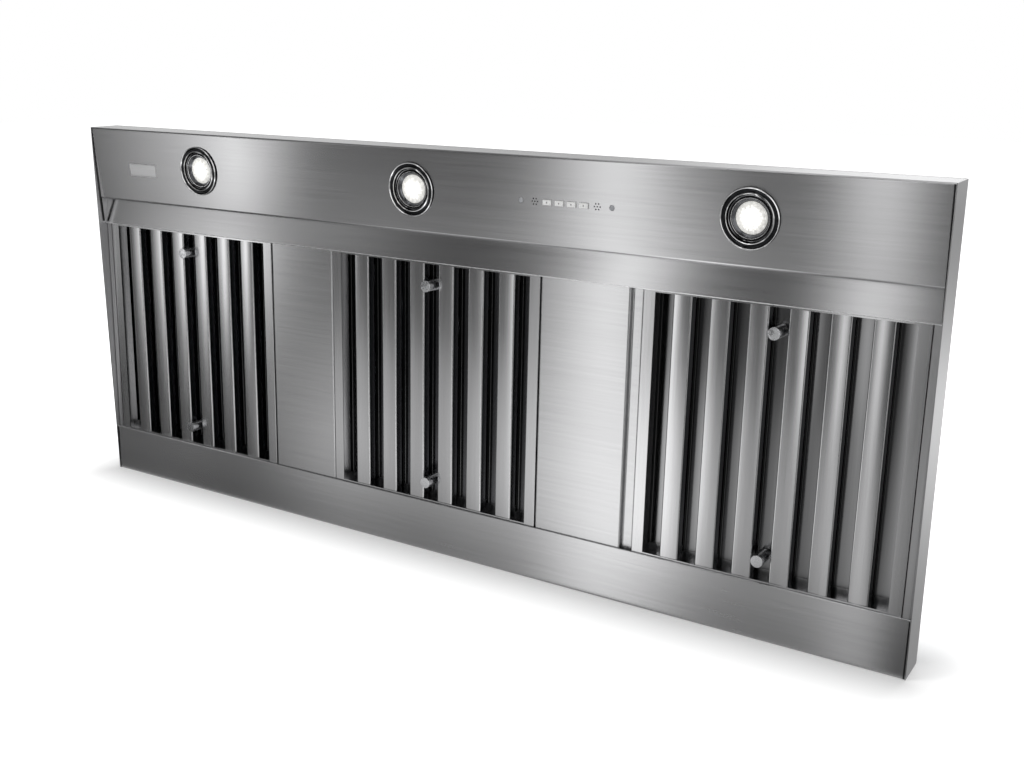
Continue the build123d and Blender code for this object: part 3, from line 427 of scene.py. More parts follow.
def galvanised(name, base):
    """Hot-dip galvanised sheet: zinc crystals 8 to 15 mm across, each with its own tone and gloss."""
    material, tree, surface = shader(name, base, 1.0, 0.45)
    where = node(tree, "TexCoord").outputs["Object"]
    cells = {"Vector": where, "Scale": 85.0, "Randomness": 1.0}
    crystals = node(tree, "TexVoronoi", cells, feature="F1").outputs["Color"]
    tone = node(tree, "SeparateColor", {"Color": crystals}).outputs["Red"]
    streak = grained(tree, (60, 60, 60), 4.0)
    mixed = node(tree, "Math", {0: tone, 1: streak}, operation="ADD").outputs[0]
    gloss = node(tree, "MapRange", {0: mixed, 1: 0.2, 2: 1.6, 3: 0.32, 4: 0.58})
    shade = node(tree, "MapRange", {0: mixed, 1: 0.2, 2: 1.6, 3: 0, 4: 1})
    tree.links.new(gloss.outputs[0], surface.inputs["Roughness"])
    tree.links.new(tinted(tree, base, 0.16, shade.outputs[0]), surface.inputs["Base Color"])
    return material


def moulded(name, base, roughness, grit):
    """Moulded plastic or sprayed enamel, with a fine grit, so many bumps to a metre, that breaks up its
    gloss."""
    material, tree, surface = shader(name, base, 0.0, roughness)
    fine = grained(tree, (grit, grit, grit), 4.0)
    bump = node(tree, "Bump", {"Height": fine, "Strength": 0.2, "Distance": 0.0002})
    gloss = node(tree, "MapRange", {0: fine, **NOISE, 3: roughness - 0.07, 4: roughness + 0.07})
    tree.links.new(bump.outputs["Normal"], surface.inputs["Normal"])
    tree.links.new(gloss.outputs[0], surface.inputs["Roughness"])
    tree.links.new(tinted(tree, base, 0.08, fine), surface.inputs["Base Color"])
    return material


def lit_glass(name, base, glow):
    """Pressed lamp glass, lit from behind: bright facets 4 mm across with darker lines where they meet, and
    a dimmer rim where the glass is seen edge on."""
    material, tree, surface = shader(name, base, 0.0, 0.12)
    where = node(tree, "TexCoord").outputs["Object"]
    cells = {"Vector": where, "Scale": 250.0}
    edges = node(tree, "TexVoronoi", cells, feature="DISTANCE_TO_EDGE").outputs["Distance"]
    facets = node(tree, "MapRange", {0: edges, 1: 0.0, 2: 0.3, 3: 0.3, 4: 1.0}).outputs[0]
    rim = node(tree, "Attribute", attribute_name="rim").outputs["Fac"]
    dimming = node(tree, "MapRange", {0: rim, 1: 0.5, 2: 0.8, 3: glow, 4: glow * 0.28}).outputs[0]
    plain = node(tree, "MapRange", {0: rim, 1: 0.2, 2: 0.55, 3: 0.9, 4: 0.0}).outputs[0]
    softer = node(tree, "Math", {0: facets, 1: plain}, operation="MAXIMUM").outputs[0]
    strength = node(tree, "Math", {0: softer, 1: dimming}, operation="MULTIPLY").outputs[0]
    surface.inputs["Emission Color"].default_value = linear("#FFFDF8")
    tree.links.new(strength, surface.inputs["Emission Strength"])
    return material


# ---------------- planes

def standing(points):
    """Hanging millimetres to the frame's metres: depth becomes Y, and y to the rear becomes downwards."""
    p = np.asarray(points, float)
    return np.stack([p[..., 0] * MM, p[..., 2] * MM + RIM, TOP - p[..., 1] * MM], axis=-1)


def on_plane(points, origin, slope):
    """Local x, y and depth on a plane that leans by a slope about x, moved to its origin: y cos s - depth
    sin s, and y sin s + depth cos s."""
    p = np.asarray(points, float)
    c, s = math.cos(slope), math.sin(slope)
    x = p[..., 0] + origin[0]
    y = origin[1] + p[..., 1] * c - p[..., 2] * s
    depth = origin[2] + p[..., 1] * s + p[..., 2] * c
    return standing(np.stack([x, y, depth], axis=-1))


def on_panel(points):
    return on_plane(points, PANEL_START, PANEL_SLOPE)


def on_filter(points):
    return on_plane(points, FILTER_FRONT, -FILTER_SLOPE)


def on_band(points):
    return on_plane(points, BAND_LIP, -BAND_SLOPE)


def local(piece, plane, x=0.0, y=0.0):
    """A piece's points as millimetres along x, y and depth on a plane, from a place on it."""
    where = np.empty(len(piece.data.vertices) * 3, np.float32)
    piece.data.vertices.foreach_get("co", where)
    corners = plane(np.array([[x, y, 0.0], [x + 1, y, 0.0], [x, y + 1, 0.0], [x, y, 1.0]]))
    axes = (corners[1:] - corners[0]) / MM ** 2
    return ((where.reshape(-1, 3) - corners[0]) @ axes.T).T


# ---------------- outlines and surfaces

def fade(values, low, high):
    """0 below low, 1 above high, and a smooth S curve between them: 3 t squared less 2 t cubed."""
    t = np.clip((values - low) / (high - low), 0, 1)
    return t * t * (3 - 2 * t)


def dimmed(values, share, low, high):
    """1 below low, and less by a share above high."""
    return 1 - share * fade(values, low, high)


def bell(values, middle, width):
    """A bell curve, e to the minus square: 1 in the middle, and 0.37 a width away from it."""
    return np.exp(-((values - middle) / width) ** 2)


def bells(values, rows):
    """The sum of bell curves of a strength, a middle and a width."""
    return sum(strength * bell(values, middle, width) for strength, middle, width in rows)


def circle(middle, radius, count=16):
    """Points of a circle round a middle: r cos a, r sin a."""
    turn = np.linspace(0, 2 * math.pi, count, endpoint=False)
    return np.stack([middle[0] + radius * np.cos(turn), middle[1] + radius * np.sin(turn)], axis=-1)


def softened(profile, times=2, closed=False):
    """Cuts the corners of an outline: each edge keeps its middle half, so corners become short curves."""
    p = np.asarray(profile, float)
    for _ in range(times):
        ahead = np.roll(p, -1, axis=0) if closed else p[1:]
        here = p if closed else p[:-1]
        near, far = here * 0.75 + ahead * 0.25, here * 0.25 + ahead * 0.75
        cut = np.stack([near, far], axis=1).reshape(-1, 2)
        p = cut if closed else np.vstack([p[:1], cut, p[-1:]])
    return p


def bent(points, radius, steps=7):
    """An outline with a round bend at each inner corner: an arc that touches both edges, radius over the
    tangent of half the corner from it."""
    p = np.asarray(points, float)
    rows = [p[:1]]
    for before, corner, after in zip(p[:-2], p[1:-1], p[2:]):
        a = (before - corner) / np.linalg.norm(before - corner)
        b = (after - corner) / np.linalg.norm(after - corner)
        half = math.acos(np.clip(a @ b, -1, 1)) / 2
        middle = corner + (a + b) / np.linalg.norm(a + b) * radius / math.sin(half)
        start = corner + a * radius / math.tan(half) - middle
        end = corner + b * radius / math.tan(half) - middle
        t = np.linspace(0, 1, steps)[:, None]
        arc = start * (1 - t) + end * t
        rows.append(middle + arc / np.linalg.norm(arc, axis=1)[:, None] * radius)
    return np.vstack(rows + [p[-1:]])


def capped(profile):
    """A profile of radius and depth with both ends brought to the axis."""
    return np.asarray([(0.0, profile[0][1])] + list(profile) + [(0.0, profile[-1][1])], float)


def widened(profile, radius):
    """A profile with a radius added to all of its own."""
    return [(radius + r, depth) for r, depth in profile]


def turned(profile, count, centre=(0.0, 0.0)):
    """A profile of radius and depth carried round an axis: x = r cos a, y = r sin a."""
    p = np.asarray(profile, float)
    a = np.linspace(0, 2 * math.pi, count, endpoint=False)[None, :]
    r, depth = p[:, 0][:, None], p[:, 1][:, None]
    return np.stack([centre[0] + r * np.cos(a), centre[1] + r * np.sin(a), depth + 0 * a], axis=-1)


def shifted(points, x, y, z=0.0):
    return points + np.array([x, y, z])


def rod(ring, start, end):
    """An outline carried straight from start to end, with both ends closed to a point: its length and the
    outline's two values."""
    along = np.array([start, start, end, end])[:, None]
    shrink = np.array([0.0, 1.0, 1.0, 0.0])[:, None, None]
    middle = ring.mean(axis=0)
    p = middle + (ring - middle)[None] * shrink
    return np.stack([np.broadcast_to(along, p.shape[:2]), p[..., 0], p[..., 1]], axis=-1)


def plate(length, height, corner, levels):
    """A rounded plate: rounded rectangles, inset and at a depth given by each level, one inside the
    other."""
    a = np.linspace(0, 2 * math.pi, 64, endpoint=False) + math.pi / 64
    rows = []
    for inset, depth in levels:
        hx, hy = length / 2 - inset, height / 2 - inset
        r = max(corner - inset, 0.05)
        x = np.sign(np.cos(a)) * max(hx - r, 0.0) + r * np.cos(a)
        y = np.sign(np.sin(a)) * max(hy - r, 0.0) + r * np.sin(a)
        rows.append(np.stack([x, y, 0 * x + depth], axis=-1))
    back, front = np.zeros_like(rows[0]), np.zeros_like(rows[0])
    back[:, 2], front[:, 2] = levels[0][1], levels[-1][1]
    return np.stack([back] + rows + [front])


def grid(points, close_rows=False):
    """Vertices and faces of a grid whose columns run round and whose rows may close too."""
    rows, cols = points.shape[:2]
    index = np.arange(rows * cols).reshape(rows, cols)
    below = np.roll(index, -1, axis=0) if close_rows else index[1:]
    above = index if close_rows else index[:-1]
    quads = np.stack([above, below, np.roll(below, -1, axis=1), np.roll(above, -1, axis=1)], axis=-1)
    return points.reshape(-1, 3), quads.reshape(-1, 4)


def strip(path, thickness, start, end):
    """A sheet bent along a path of x and depth: at each point of the path, a thin rectangle across the sheet
    and along y."""
    p = np.asarray(path, float)
    along = np.gradient(p, axis=0)
    along /= np.linalg.norm(along, axis=1)[:, None]
    inner = p + np.stack([-along[:, 1], along[:, 0]], axis=-1) * thickness
    rows = np.stack([p, p, inner, inner], axis=1)
    y = np.broadcast_to(np.array([start, end, end, start]), rows.shape[:2])
    verts, quads = grid(np.stack([rows[..., 0], y, rows[..., 1]], axis=-1))
    last = len(verts) - 4
    ends = [[0, 1, 2, 3], [last, last + 3, last + 2, last + 1]]
    return verts, np.vstack([quads, ends])


def channels(middle, kind):
    """Like channels side by side on a filter: faces at a depth, flanges turned back over round bends."""
    count, width, flange, radius, start, end, depth, facing = kind
    half = width / 2
    path = bent([(-half, flange), (-half, 0), (half, 0), (half, flange)], radius)
    grids = []
    for i in range(count):
        x = middle + (i - (count - 1) / 2) * BAFFLE_PITCH
        moved = path * [1, facing] + [x, depth]
        verts, quads = strip(moved[::facing], BAFFLE_SHEET, start, end)
        grids.append((on_filter(verts), quads))
    return grids


# ---------------- objects

def placed(name, data):
    """A new object in the scene, at the origin."""
    made = bpy.data.objects.new(name, data)
    bpy.context.scene.collection.objects.link(made)
    return made


def mesh_object(name, grids, crease=32.0):
    """One object from several grids. Poles are merged, faces are turned outwards, and edges sharper than
    crease stay sharp."""
    verts, faces, start = [], [], 0
    for points, quads in grids:
        verts.append(points)
        faces.append(quads + start)
        start += len(points)
    mesh = bpy.data.meshes.new(name)
    mesh.from_pydata(np.vstack(verts).tolist(), [], np.vstack(faces).tolist())
    work = bmesh.new()
    work.from_mesh(mesh)
    bmesh.ops.remove_doubles(work, verts=work.verts, dist=1e-6)
    bmesh.ops.dissolve_degenerate(work, edges=work.edges, dist=1e-7)
    bmesh.ops.recalc_face_normals(work, faces=work.faces)
    work.to_mesh(mesh)
    work.free()
    mesh.shade_smooth()
    mesh.set_sharp_from_angle(angle=math.radians(crease))
    return placed(name, mesh)


def mark(piece, name, values):
    """Gives each of a piece's points a value that its material reads."""
    points = piece.data.attributes.new(name, "FLOAT", "POINT").data
    points.foreach_set("value", values.reshape(-1).astype(np.float32))


def finished(piece, material, body, slot, *nodes):
    """Gives a new piece its material, the body it rides on and the nodes it stands for; slot is not used."""
    piece.data.materials.append(material)
    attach(piece, body)
    if nodes:
        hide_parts(*nodes)


def painted(material, *names):
    """Puts a material on CAD nodes."""
    for name in names:
        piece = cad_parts[name]
        piece.data.materials.clear()
        piece.data.materials.append(material)


class HOOD_OT_sheets(bpy.types.Operator):
    """Brushed stainless on the tray, panel, bands, rails and spacers, with the rail's lip and dark strips of
    painted shadow in the end seams: each a circle carried straight along its seam"""
    bl_idname = "hood.sheets"
    bl_label = "Brushed sheets"

    def execute(self, context):
        base = colours().steel
        along = brushed("brushed stainless lengthwise", base, (9, 560, 560), UPWARDS, 0.24, 0.008, 0.9)
        walls = brushed("brushed stainless walls", base, (560, 560, 9), UPWARDS, 0.3, 0.02, 0.5)
        inner = brushed("brushed stainless inner", base, (560, 560, 9), SIDEWAYS, 0.34, 0.03, 0.5)
        painted(along, "control_panel", "rear_band", "front_filter_rail", "spacer_left", "spacer_right")
        painted(walls, "tray_pan")
        painted(inner, "side_ledge_left", "side_ledge_right", "rear_filter_rail")
        # The lip is paler steel than the sheet, a painted highlight, and its round also reflects real
        # light: a thin light line along the rail.
        lip_highlight = polished("lip steel with painted highlight", "#F4F4F5", 0.3)
        lip = rod(circle(LIP_PLACE, LIP_RADIUS), -LIP_END, LIP_END)
        finished(mesh_object("rail_lip", [grid(standing(lip))], 60), lip_highlight, ROOT, "brushed_stainless")
        # A matt, nearly black strip in each seam is painted shadow, standing in for the shade in the gap.
        seam_shadow = moulded("painted seam shadow", "#08080A", 0.6, 500)
        grids = []
        for plane, run in ((on_panel, PANEL_RUN), (on_band, BAND_RUN)):
            for x in (-SEAM_SHADOW_X, SEAM_SHADOW_X):
                seam = rod(circle((x, SEAM_SHADOW_DEPTH), SEAM_SHADOW_RADIUS), *run)
                grids.append(grid(plane(seam[..., [1, 0, 2]])))
        finished(mesh_object("end_seam_shadows", grids, 60), seam_shadow, ROOT, "black_plastic")
        return {"FINISHED"}


class HOOD_OT_filters(bpy.types.Operator):
    """Rolled stainless on the baffle filters: channels bent over round corners, knob posts turned from a
    profile, and springs"""
    bl_idname = "hood.filters"
    bl_label = "Baffle filters"

    def execute(self, context):
        # The same sheet as the tray, brushed upright and a little glossier; the flanges are painted darker,
        # painted shade.
        base, grain = colours().baffle, (520, 520, 5)
        fronts = brushed("rolled stainless baffles", base, grain, UPWARDS, 0.2, 0.01, 0.85, "#808184")
        frames = brushed("rolled stainless frames", base, grain, UPWARDS, 0.2, 0.01, 0.85)
        backs = brushed("rolled stainless rear baffles", base, grain, UPWARDS, 0.17, 0.01, 0.85, "#151617")
        # Turned steel is softer than chrome: it shows light and dark as blurred bands.
        turned_steel = polished("turned stainless", colours().polished, 0.24)
        # Heat leaves spring steel a dull blue-black.
        blued = moulded("blued spring steel", "#3A3B40", 0.35, 900)
        for side, middle in FILTER_PLACES.items():
            painted(frames, f"filter_{side}_frame")
            self.springs(side, middle, blued)
            made = mesh_object(f"filter_{side}_bent_fronts", channels(middle, FRONT_CHANNELS))
            # Painted shade: flanges deeper than the face take the darker colour.
            mark(made, "painted_light", 1 - fade(local(made, on_filter, middle)[2], *FRONT_SHADE_DEPTHS))
            finished(made, fronts, f"filter_{side}", "baffle_steel", f"filter_{side}_front_baffles")
            made = mesh_object(f"filter_{side}_bent_backs", channels(middle, REAR_CHANNELS))
            # Painted shade: the rear flanges are painted near black, and the rear face darker on its left.
            x, _, depth = local(made, on_filter, middle)
            across = (x + BAFFLE_PITCH / 2) % BAFFLE_PITCH - BAFFLE_PITCH / 2
            shade = REAR_LEAST + REAR_GAIN * fade(across, *REAR_SHADE)
            mark(made, "painted_light", fade(depth, *REAR_SHADE_DEPTHS) * shade)
            finished(made, backs, f"filter_{side}", "baffle_steel", f"filter_{side}_rear_baffles")
            self.knobs(side, middle, turned_steel)
        return {"FINISHED"}

    def springs(self, side, middle, material):
        """Two bowed leaves of spring steel: arcs of a circle on the spring rail, whose crowns press on the
        filter's end."""
        turn = np.radians(np.linspace(*SPRING_ARC, 25))
        y = SPRING_MIDDLE[0] + SPRING_RADIUS * np.cos(turn)
        depth = SPRING_MIDDLE[1] + SPRING_RADIUS * np.sin(turn)
        arc = np.stack([y, depth], axis=-1)
        grids = []
        for x in (middle - SPRING_APART, middle + SPRING_APART):
            points, quads = strip(arc, SPRING_SHEET, x - SPRING_HALF, x + SPRING_HALF)
            grids.append((standing(points[:, [1, 0, 2]]), quads))
        made = mesh_object(f"filter_{side}_leaf_springs", grids)
        made.data.materials.append(material)
        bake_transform(made)
        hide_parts(f"filter_{side}_springs")

    def knobs(self, side, middle, material):
        """Two posts with a small rounded edge: a profile of radius and depth carried round."""
        post = softened(capped(widened(KNOB_PROFILE, size("knob_radius"))), 1)
        grids = [grid(on_filter(turned(post, 64, (middle, y)))) for y in KNOB_PLACES]
        made = mesh_object(f"filter_{side}_knob_posts", grids)
        finished(made, material, f"filter_{side}", "polished_steel", f"filter_{side}_knobs")


class HOOD_OT_lights(bpy.types.Operator):
    """Recessed lights: bezel, gimbal ring and reflector turned from profiles, and lit faceted glass"""
    bl_idname = "hood.lights"
    bl_label = "Recessed lights"

    def execute(self, context):
        # The chrome's hollows are painted dark, painted shade; the lips keep the bright colour.
        chrome = polished("chrome bezel", "#F6F6F7", 0.06, "#303133")
        inner_chrome = polished("chrome gimbal ring", "#F0F0F2", 0.1, "#28292B")
        # A smoked reflector shows grey beside the lit glass.
        smoked = polished("smoked reflector", "#77787B", 0.16)
        glass = lit_glass("lit lamp glass", "#F6F5F1", 1.15)
        can = galvanised("galvanised lamp can", colours().zinc)
        radius = size("lamp_glass_radius")
        bezel = softened(widened(BEZEL_OUTER, size("bezel_radius")) + BEZEL_INNER, 1, True)
        ring = softened(GIMBAL, 1, True)
        seat = [(radius + REFLECTOR_REACH, REFLECTOR_DEPTHS[0]), (radius, REFLECTOR_DEPTHS[1])]
        shell = softened(capped(REFLECTOR_BACK + REFLECTOR_FRONT + seat), 1)
        dome = self.dome(radius)
        # Piece, profile, whether it closes, material, depths where its bright lip gives way to painted
        # shade, and the node it stands for.
        turnings = (
            ("bezel", bezel, True, chrome, BEZEL_LIP, "trim"),
            ("gimbal", ring, True, inner_chrome, GIMBAL_LIP, "ring"),
            ("reflector", shell, False, smoked, None, "lamp"),
        )
        for side, (x, y) in LIGHT_PLACES.items():
            painted(can, f"light_{side}_can")
            for piece, profile, closed, material, lip, stood_for in turnings:
                points = on_panel(turned(profile, 96, (x, y)))
                made = mesh_object(f"light_{side}_{piece}", [grid(points, closed)])
                if lip:
                    mark(made, "painted_light", 1 - fade(local(made, on_panel, x, y)[2], *lip))
                finished(made, material, ROOT, "polished_steel", f"light_{side}_{stood_for}")
            made = mesh_object(f"light_{side}_glass", [grid(on_panel(shifted(dome, x, y)))])
            mark(made, "rim", np.hypot(*local(made, on_panel, x, y)[:2]) / radius)
            finished(made, glass, ROOT, "lamp_glass")
        return {"FINISHED"}

    def dome(self, radius):
        """A low dome, its depth a circle's arc of the share of the radius, with petals and dimples that rise
        and fall as the cosine of the angle."""
        share = np.linspace(1.0, 0.0, 25)
        turn = np.linspace(0, 2 * math.pi, 120, endpoint=False)
        rr, aa = np.meshgrid(share, turn, indexing="ij")
        facets = bpy.context.scene.hood_sizes.lamp_facets
        outer = np.clip((rr - PETAL_FROM) / (1 - PETAL_FROM), 0, 1)
        inner = np.clip(rr / DIMPLE_TO, 0, 1)
        petals = np.cos(facets * aa) * np.sin(math.pi * outer) ** 2
        dimples = np.cos(2 * facets * aa + DIMPLE_TURN) * np.sin(math.pi * inner) ** 2
        rise = GLASS_DOME * np.sqrt(np.clip(1 - rr ** 2, 0, 1))
        depth = GLASS_RIM - rise + GLASS_PETAL * petals + GLASS_DIMPLE * dimples
        return np.stack([radius * rr * np.cos(aa), radius * rr * np.sin(aa), depth], axis=-1)


class HOOD_OT_controls(bpy.types.Operator):
    """Push buttons with smoked pips and indicator lenses, turned from profiles, and the board and its
    cover"""
    bl_idname = "hood.controls"
    bl_label = "Controls"

    def execute(self, context):
        # Painted ABS caps are pale and satin. Lenses are glossy, and darker than the caps.
        cap = moulded("satin silver ABS caps", "#F3F3F2", 0.32, 1500)
        smoked = moulded("smoked pip lens", "#2B2C30", 0.15, 1200)
        lenses = {
            "left": moulded("clear grey lens", "#A9ABAE", 0.18, 1500),
            "right": moulded("smoked grey lens", "#A2A4A8", 0.2, 1500),
        }
        pip = softened(capped(PIP), 2)
        pip[:, 1] -= BUTTON_PROUD
        for i, x in enumerate(BUTTON_X):
            painted(cap, f"button_{i + 1}")
            made = mesh_object(f"button_{i + 1}_pip", [grid(on_panel(turned(pip, 28, (x, CONTROL_Y))))])
            finished(made, smoked, f"button_{i + 1}", "lens_right")
        lens = softened(capped(LENS), 2)
        for side, x in INDICATOR_X.items():
            made = mesh_object(f"indicator_{side}_lens", [grid(on_panel(turned(lens, 40, (x, CONTROL_Y))))])
            finished(made, lenses[side], ROOT, f"lens_{side}", f"indicator_{side}")
        # The board and its cover are the dark that shows through the small holes.
        painted(moulded("dark green solder mask", "#0B2416", 0.5, 700), "control_board")
        painted(moulded("black ABS cover", "#1B1C1E", 0.5, 500), "control_cover")
        return {"FINISHED"}


class HOOD_OT_badge(bpy.types.Operator):
    """Bare badge plate at the left of the panel: rounded rectangles, stepped in and out to a raised
    border"""
    bl_idname = "hood.badge"
    bl_label = "Badge plate"

    def execute(self, context):
        satin = brushed("satin badge steel", "#DADADB", (22, 1400, 1400), UPWARDS, 0.3, 0.03, 0.4)
        shape = plate(size("badge_length"), size("badge_height"), BADGE_CORNER, BADGE_STEPS)
        made = mesh_object("badge_plate", [grid(on_panel(shifted(shape, *BADGE_PLACE)))])
        finished(made, satin, ROOT, "brushed_stainless")
        return {"FINISHED"}


class HOOD_OT_housing(bpy.types.Operator):
    """Galvanised blower housing, duct, junction box and blower, with screw heads, a profile carried round in
    six steps, and the collar's bead, a small circle carried round the duct"""
    bl_idname = "hood.housing"
    bl_label = "Housing and blower"

    def execute(self, context):
        zinc = galvanised("galvanised sheet", colours().zinc)
        bright = polished("bright zinc screw", "#BFC2C6", 0.22)
        head = capped(widened(SCREW_HEAD, size("screw_radius")))
        grids = [grid(standing(shifted(turned(head, 6), x, y, HOUSING_TOP))) for x, y in SCREW_PLACES]
        finished(mesh_object("housing_screws", grids, 20), bright, ROOT, "zinc_screw")
        bead = turned(circle((COLLAR_RADIUS, BEAD_HEIGHT), BEAD_RADIUS, 12), 96, DUCT_PLACE)
        finished(mesh_object("collar_bead", [grid(standing(bead), True)], 60), zinc, ROOT, "galvanised_steel")
        painted(zinc, "housing_shell", "housing_top", "scroll_left", "scroll_right", "duct_transition",
                "junction_box", "junction_box_lid", "motor_bracket", "damper_flap_left", "damper_flap_right",
                "damper_spindle", "impeller_left", "impeller_right")
        painted(polished("ground shaft steel", "#C4C6C9", 0.18), "rotor_shaft")
        painted(moulded("black motor enamel", "#202124", 0.38, 400), "motor")
        return {"FINISHED"}


# ---------------- stage

class HOOD_OT_stage(bpy.types.Operator):
    """Pale floor, white surroundings, soft studio light and the camera"""
    bl_idname = "hood.stage"
    bl_label = "Stage"

    def execute(self, context):
        self.floor()
        self.ground()
        self.sweep()
        self.dome()
        self.surroundings()
        for lamp in LAMPS:
            self.lamp(*lamp)
        self.camera()
        context.scene.view_settings.view_transform = "Standard"
        return {"FINISHED"}

    def seen(self, tree):
        """1 for the camera's, mirrored and glass rays, and 0 for the rest."""
        path = node(tree, "LightPath").outputs
        rays = {0: path["Is Camera Ray"], 1: path["Is Glossy Ray"]}
        first = node(tree, "Math", rays, operation="MAXIMUM").outputs[0]
        rays = {0: first, 1: path["Is Transmission Ray"]}
        return node(tree, "Math", rays, operation="MAXIMUM").outputs[0]

    def surface(self, name, points):
        """An open grid of stage surface: without the faces that would close its rows."""
        verts, quads = grid(points)
        quads = quads.reshape(-1, points.shape[1], 4)[:, :-1].reshape(-1, 4)
        mesh = bpy.data.meshes.new(name)
        mesh.from_pydata(verts.tolist(), [], quads.tolist())
        mesh.shade_smooth()
        made = placed(name, mesh)
        return made

    def floor(self):
        """A flat grid, 16 m wide, at the level the insert stands on. It is white away from the insert; near
        it the white lift is lowered, a painted shadow over the insert's real shadow."""
        a = np.linspace(-8, 8, 9)
        x, y = np.meshgrid(a, a, indexing="ij")
        floor = self.surface("floor", np.stack([x, y, 0 * x], axis=-1))
        material, tree, surface = shader("pale studio floor", colours().floor, 0.0, 0.9, **SHINING)
        # Painted shadow: the white lift is lowered near the insert.
        away = {0: self.distance(tree), 1: 0.0, 2: FLOOR_SHADE, 3: FLOOR_FOOT, 4: FLOOR_AWAY}
        painted_shadow_lift = node(tree, "MapRange", away).outputs[0]
        lift = node(tree, "Math", {0: self.seen(tree), 1: painted_shadow_lift}, operation="MULTIPLY").outputs[0]
        tree.links.new(lift, surface.inputs["Emission Strength"])
        floor.data.materials.append(material)

    def distance(self, tree):
        """Distance on the floor from the tray's footprint or, four times as fast, from the housing's."""
        tray = self.beyond(tree, cad_box[0].y + TRAY_REACH, (cad_box[1].x, TRAY_REACH, 0), 1.0)
        housing = self.beyond(tree, 0.0, (HOUSING_HALF, cad_box[1].y - DUCT_RISE, 0), HOUSING_PACE)
        return node(tree, "Math", {0: tray, 1: housing}, operation="MINIMUM").outputs[0]

    def beyond(self, tree, middle, half, pace):
        """Distance from a rectangle on the floor, times a pace: zero inside it, and the length of what is
        left of x and y beyond its half sizes outside it."""
        here = node(tree, "TexCoord").outputs["Object"]
        steps = (("SUBTRACT", (0, middle, 0)), ("ABSOLUTE", None), ("SUBTRACT", half), ("MAXIMUM", (0, 0, 0)),
                 ("MULTIPLY", (pace, pace, pace)))
        for operation, other in steps:
            inputs = {0: here} if other is None else {0: here, 1: other}
            here = node(tree, "VectorMath", inputs, operation=operation).outputs["Vector"]
        return node(tree, "VectorMath", {0: here}, operation="LENGTH").outputs["Value"]

    def card(self, name, points, glow):
        """A sheet that shines by its own amount at each point and is seen only in reflections."""
        card = self.surface(name, points)
        mark(card, "glow", glow)
        material, tree, surface = shader("studio " + name, "#000000", 0.0, 1.0, **SHINING)
        bright = node(tree, "Attribute", attribute_name="glow").outputs["Fac"]
        tree.links.new(bright, surface.inputs["Emission Strength"])
        card.data.materials.append(material)
        card.visible_camera = False
        card.visible_diffuse = False
        card.visible_shadow = False
        card.visible_transmission = False

    def ground(self):
        """Grey card on the floor all round: dark at the insert's foot, palest a metre behind it, and darker
        again beyond. Its lines lie closer in the middle, by a hyperbolic sine."""
        t = np.linspace(-1, 1, 161)
        spread = np.sinh(GROUND_FINE * t) / math.sinh(GROUND_FINE) * GROUND_REACH
        x, y = np.meshgrid(spread, spread, indexing="ij")
        glow = GROUND_GLOW + GROUND_BEHIND * bell(y, *GROUND_PALE) * fade(y, *GROUND_START)
        self.card("ground", np.stack([x, y, 0 * x + GROUND_LIFT], axis=-1), glow)

    def sweep(self):
        """Dark sweep with soft boxes in it, in front of the steel. It runs flat along the floor, turns up in
        a quarter circle and ends in a wall. Lines that fan out from a point behind the insert give it its
        width, so each soft box shows on every flat face as an upright band."""
        bend_end = SWEEP_FLAT + SWEEP_BEND * math.pi / 2
        flat = np.linspace(SWEEP_START, SWEEP_FLAT, 40)
        bend = SWEEP_FLAT + np.linspace(0.02, SWEEP_BEND * math.pi / 2, 16)
        wall = bend_end + np.linspace(0.1, SWEEP_WALL, 24)
        s = np.concatenate([flat, bend, wall])
        turn = np.clip((s - SWEEP_FLAT) / SWEEP_BEND, 0, math.pi / 2)
        rise = np.clip(s - bend_end, 0, None)
        ahead = np.minimum(s, SWEEP_FLAT) + SWEEP_BEND * np.sin(turn)
        height = SWEEP_LIFT + SWEEP_BEND * (1 - np.cos(turn)) + rise
        across = np.linspace(*SWEEP_ENDS, 150)
        w, a = np.meshgrid(across, ahead, indexing="ij")
        x = FAN_X + (w - FAN_X) * (a + FAN_BACK) / FAN_BACK
        points = np.stack([x, SWEEP_FRONT - a, np.broadcast_to(height, w.shape)], axis=-1)
        self.card("sweep", points, self.soft_boxes(w, np.broadcast_to(s, w.shape)))

    def soft_boxes(self, w, s):
        """Brightness of the sweep at a place across and a length along it: a dark ground, a pale table that
        fades in from left to right near the insert, and upright soft boxes, each a bell curve across."""
        near = 1 - fade(s, *TABLE_END)
        contact = FOOT_LEAST + (1 - FOOT_LEAST) * fade(s, *FOOT_SHADE)
        high = fade(s, *WALL_START) * dimmed(s, *WALL_DIM) * (1 - bells(s, WALL_DIP))
        top = fade(s, *HIGH_START)
        table = TABLE_GLOW * fade(w, *TABLE_LEFT) * dimmed(w, *TABLE_RIGHT) * (1 - bells(w, TABLE_DIP))
        table = table + bells(w, TABLE_FOOT)
        glow = SWEEP_DARK + near * (TABLE_DARK + contact * table + bells(w, TABLE_BOXES))
        glow = glow + high * ((1 - top) * bells(w, LOW_BOXES) + top * bells(w, TOP_BOXES))
        glow = glow + high * (bells(w - LEAN * top, LEANING_BOX) + bells(w, WALL_BOX))
        return glow * dimmed(w, *RIGHT_END)

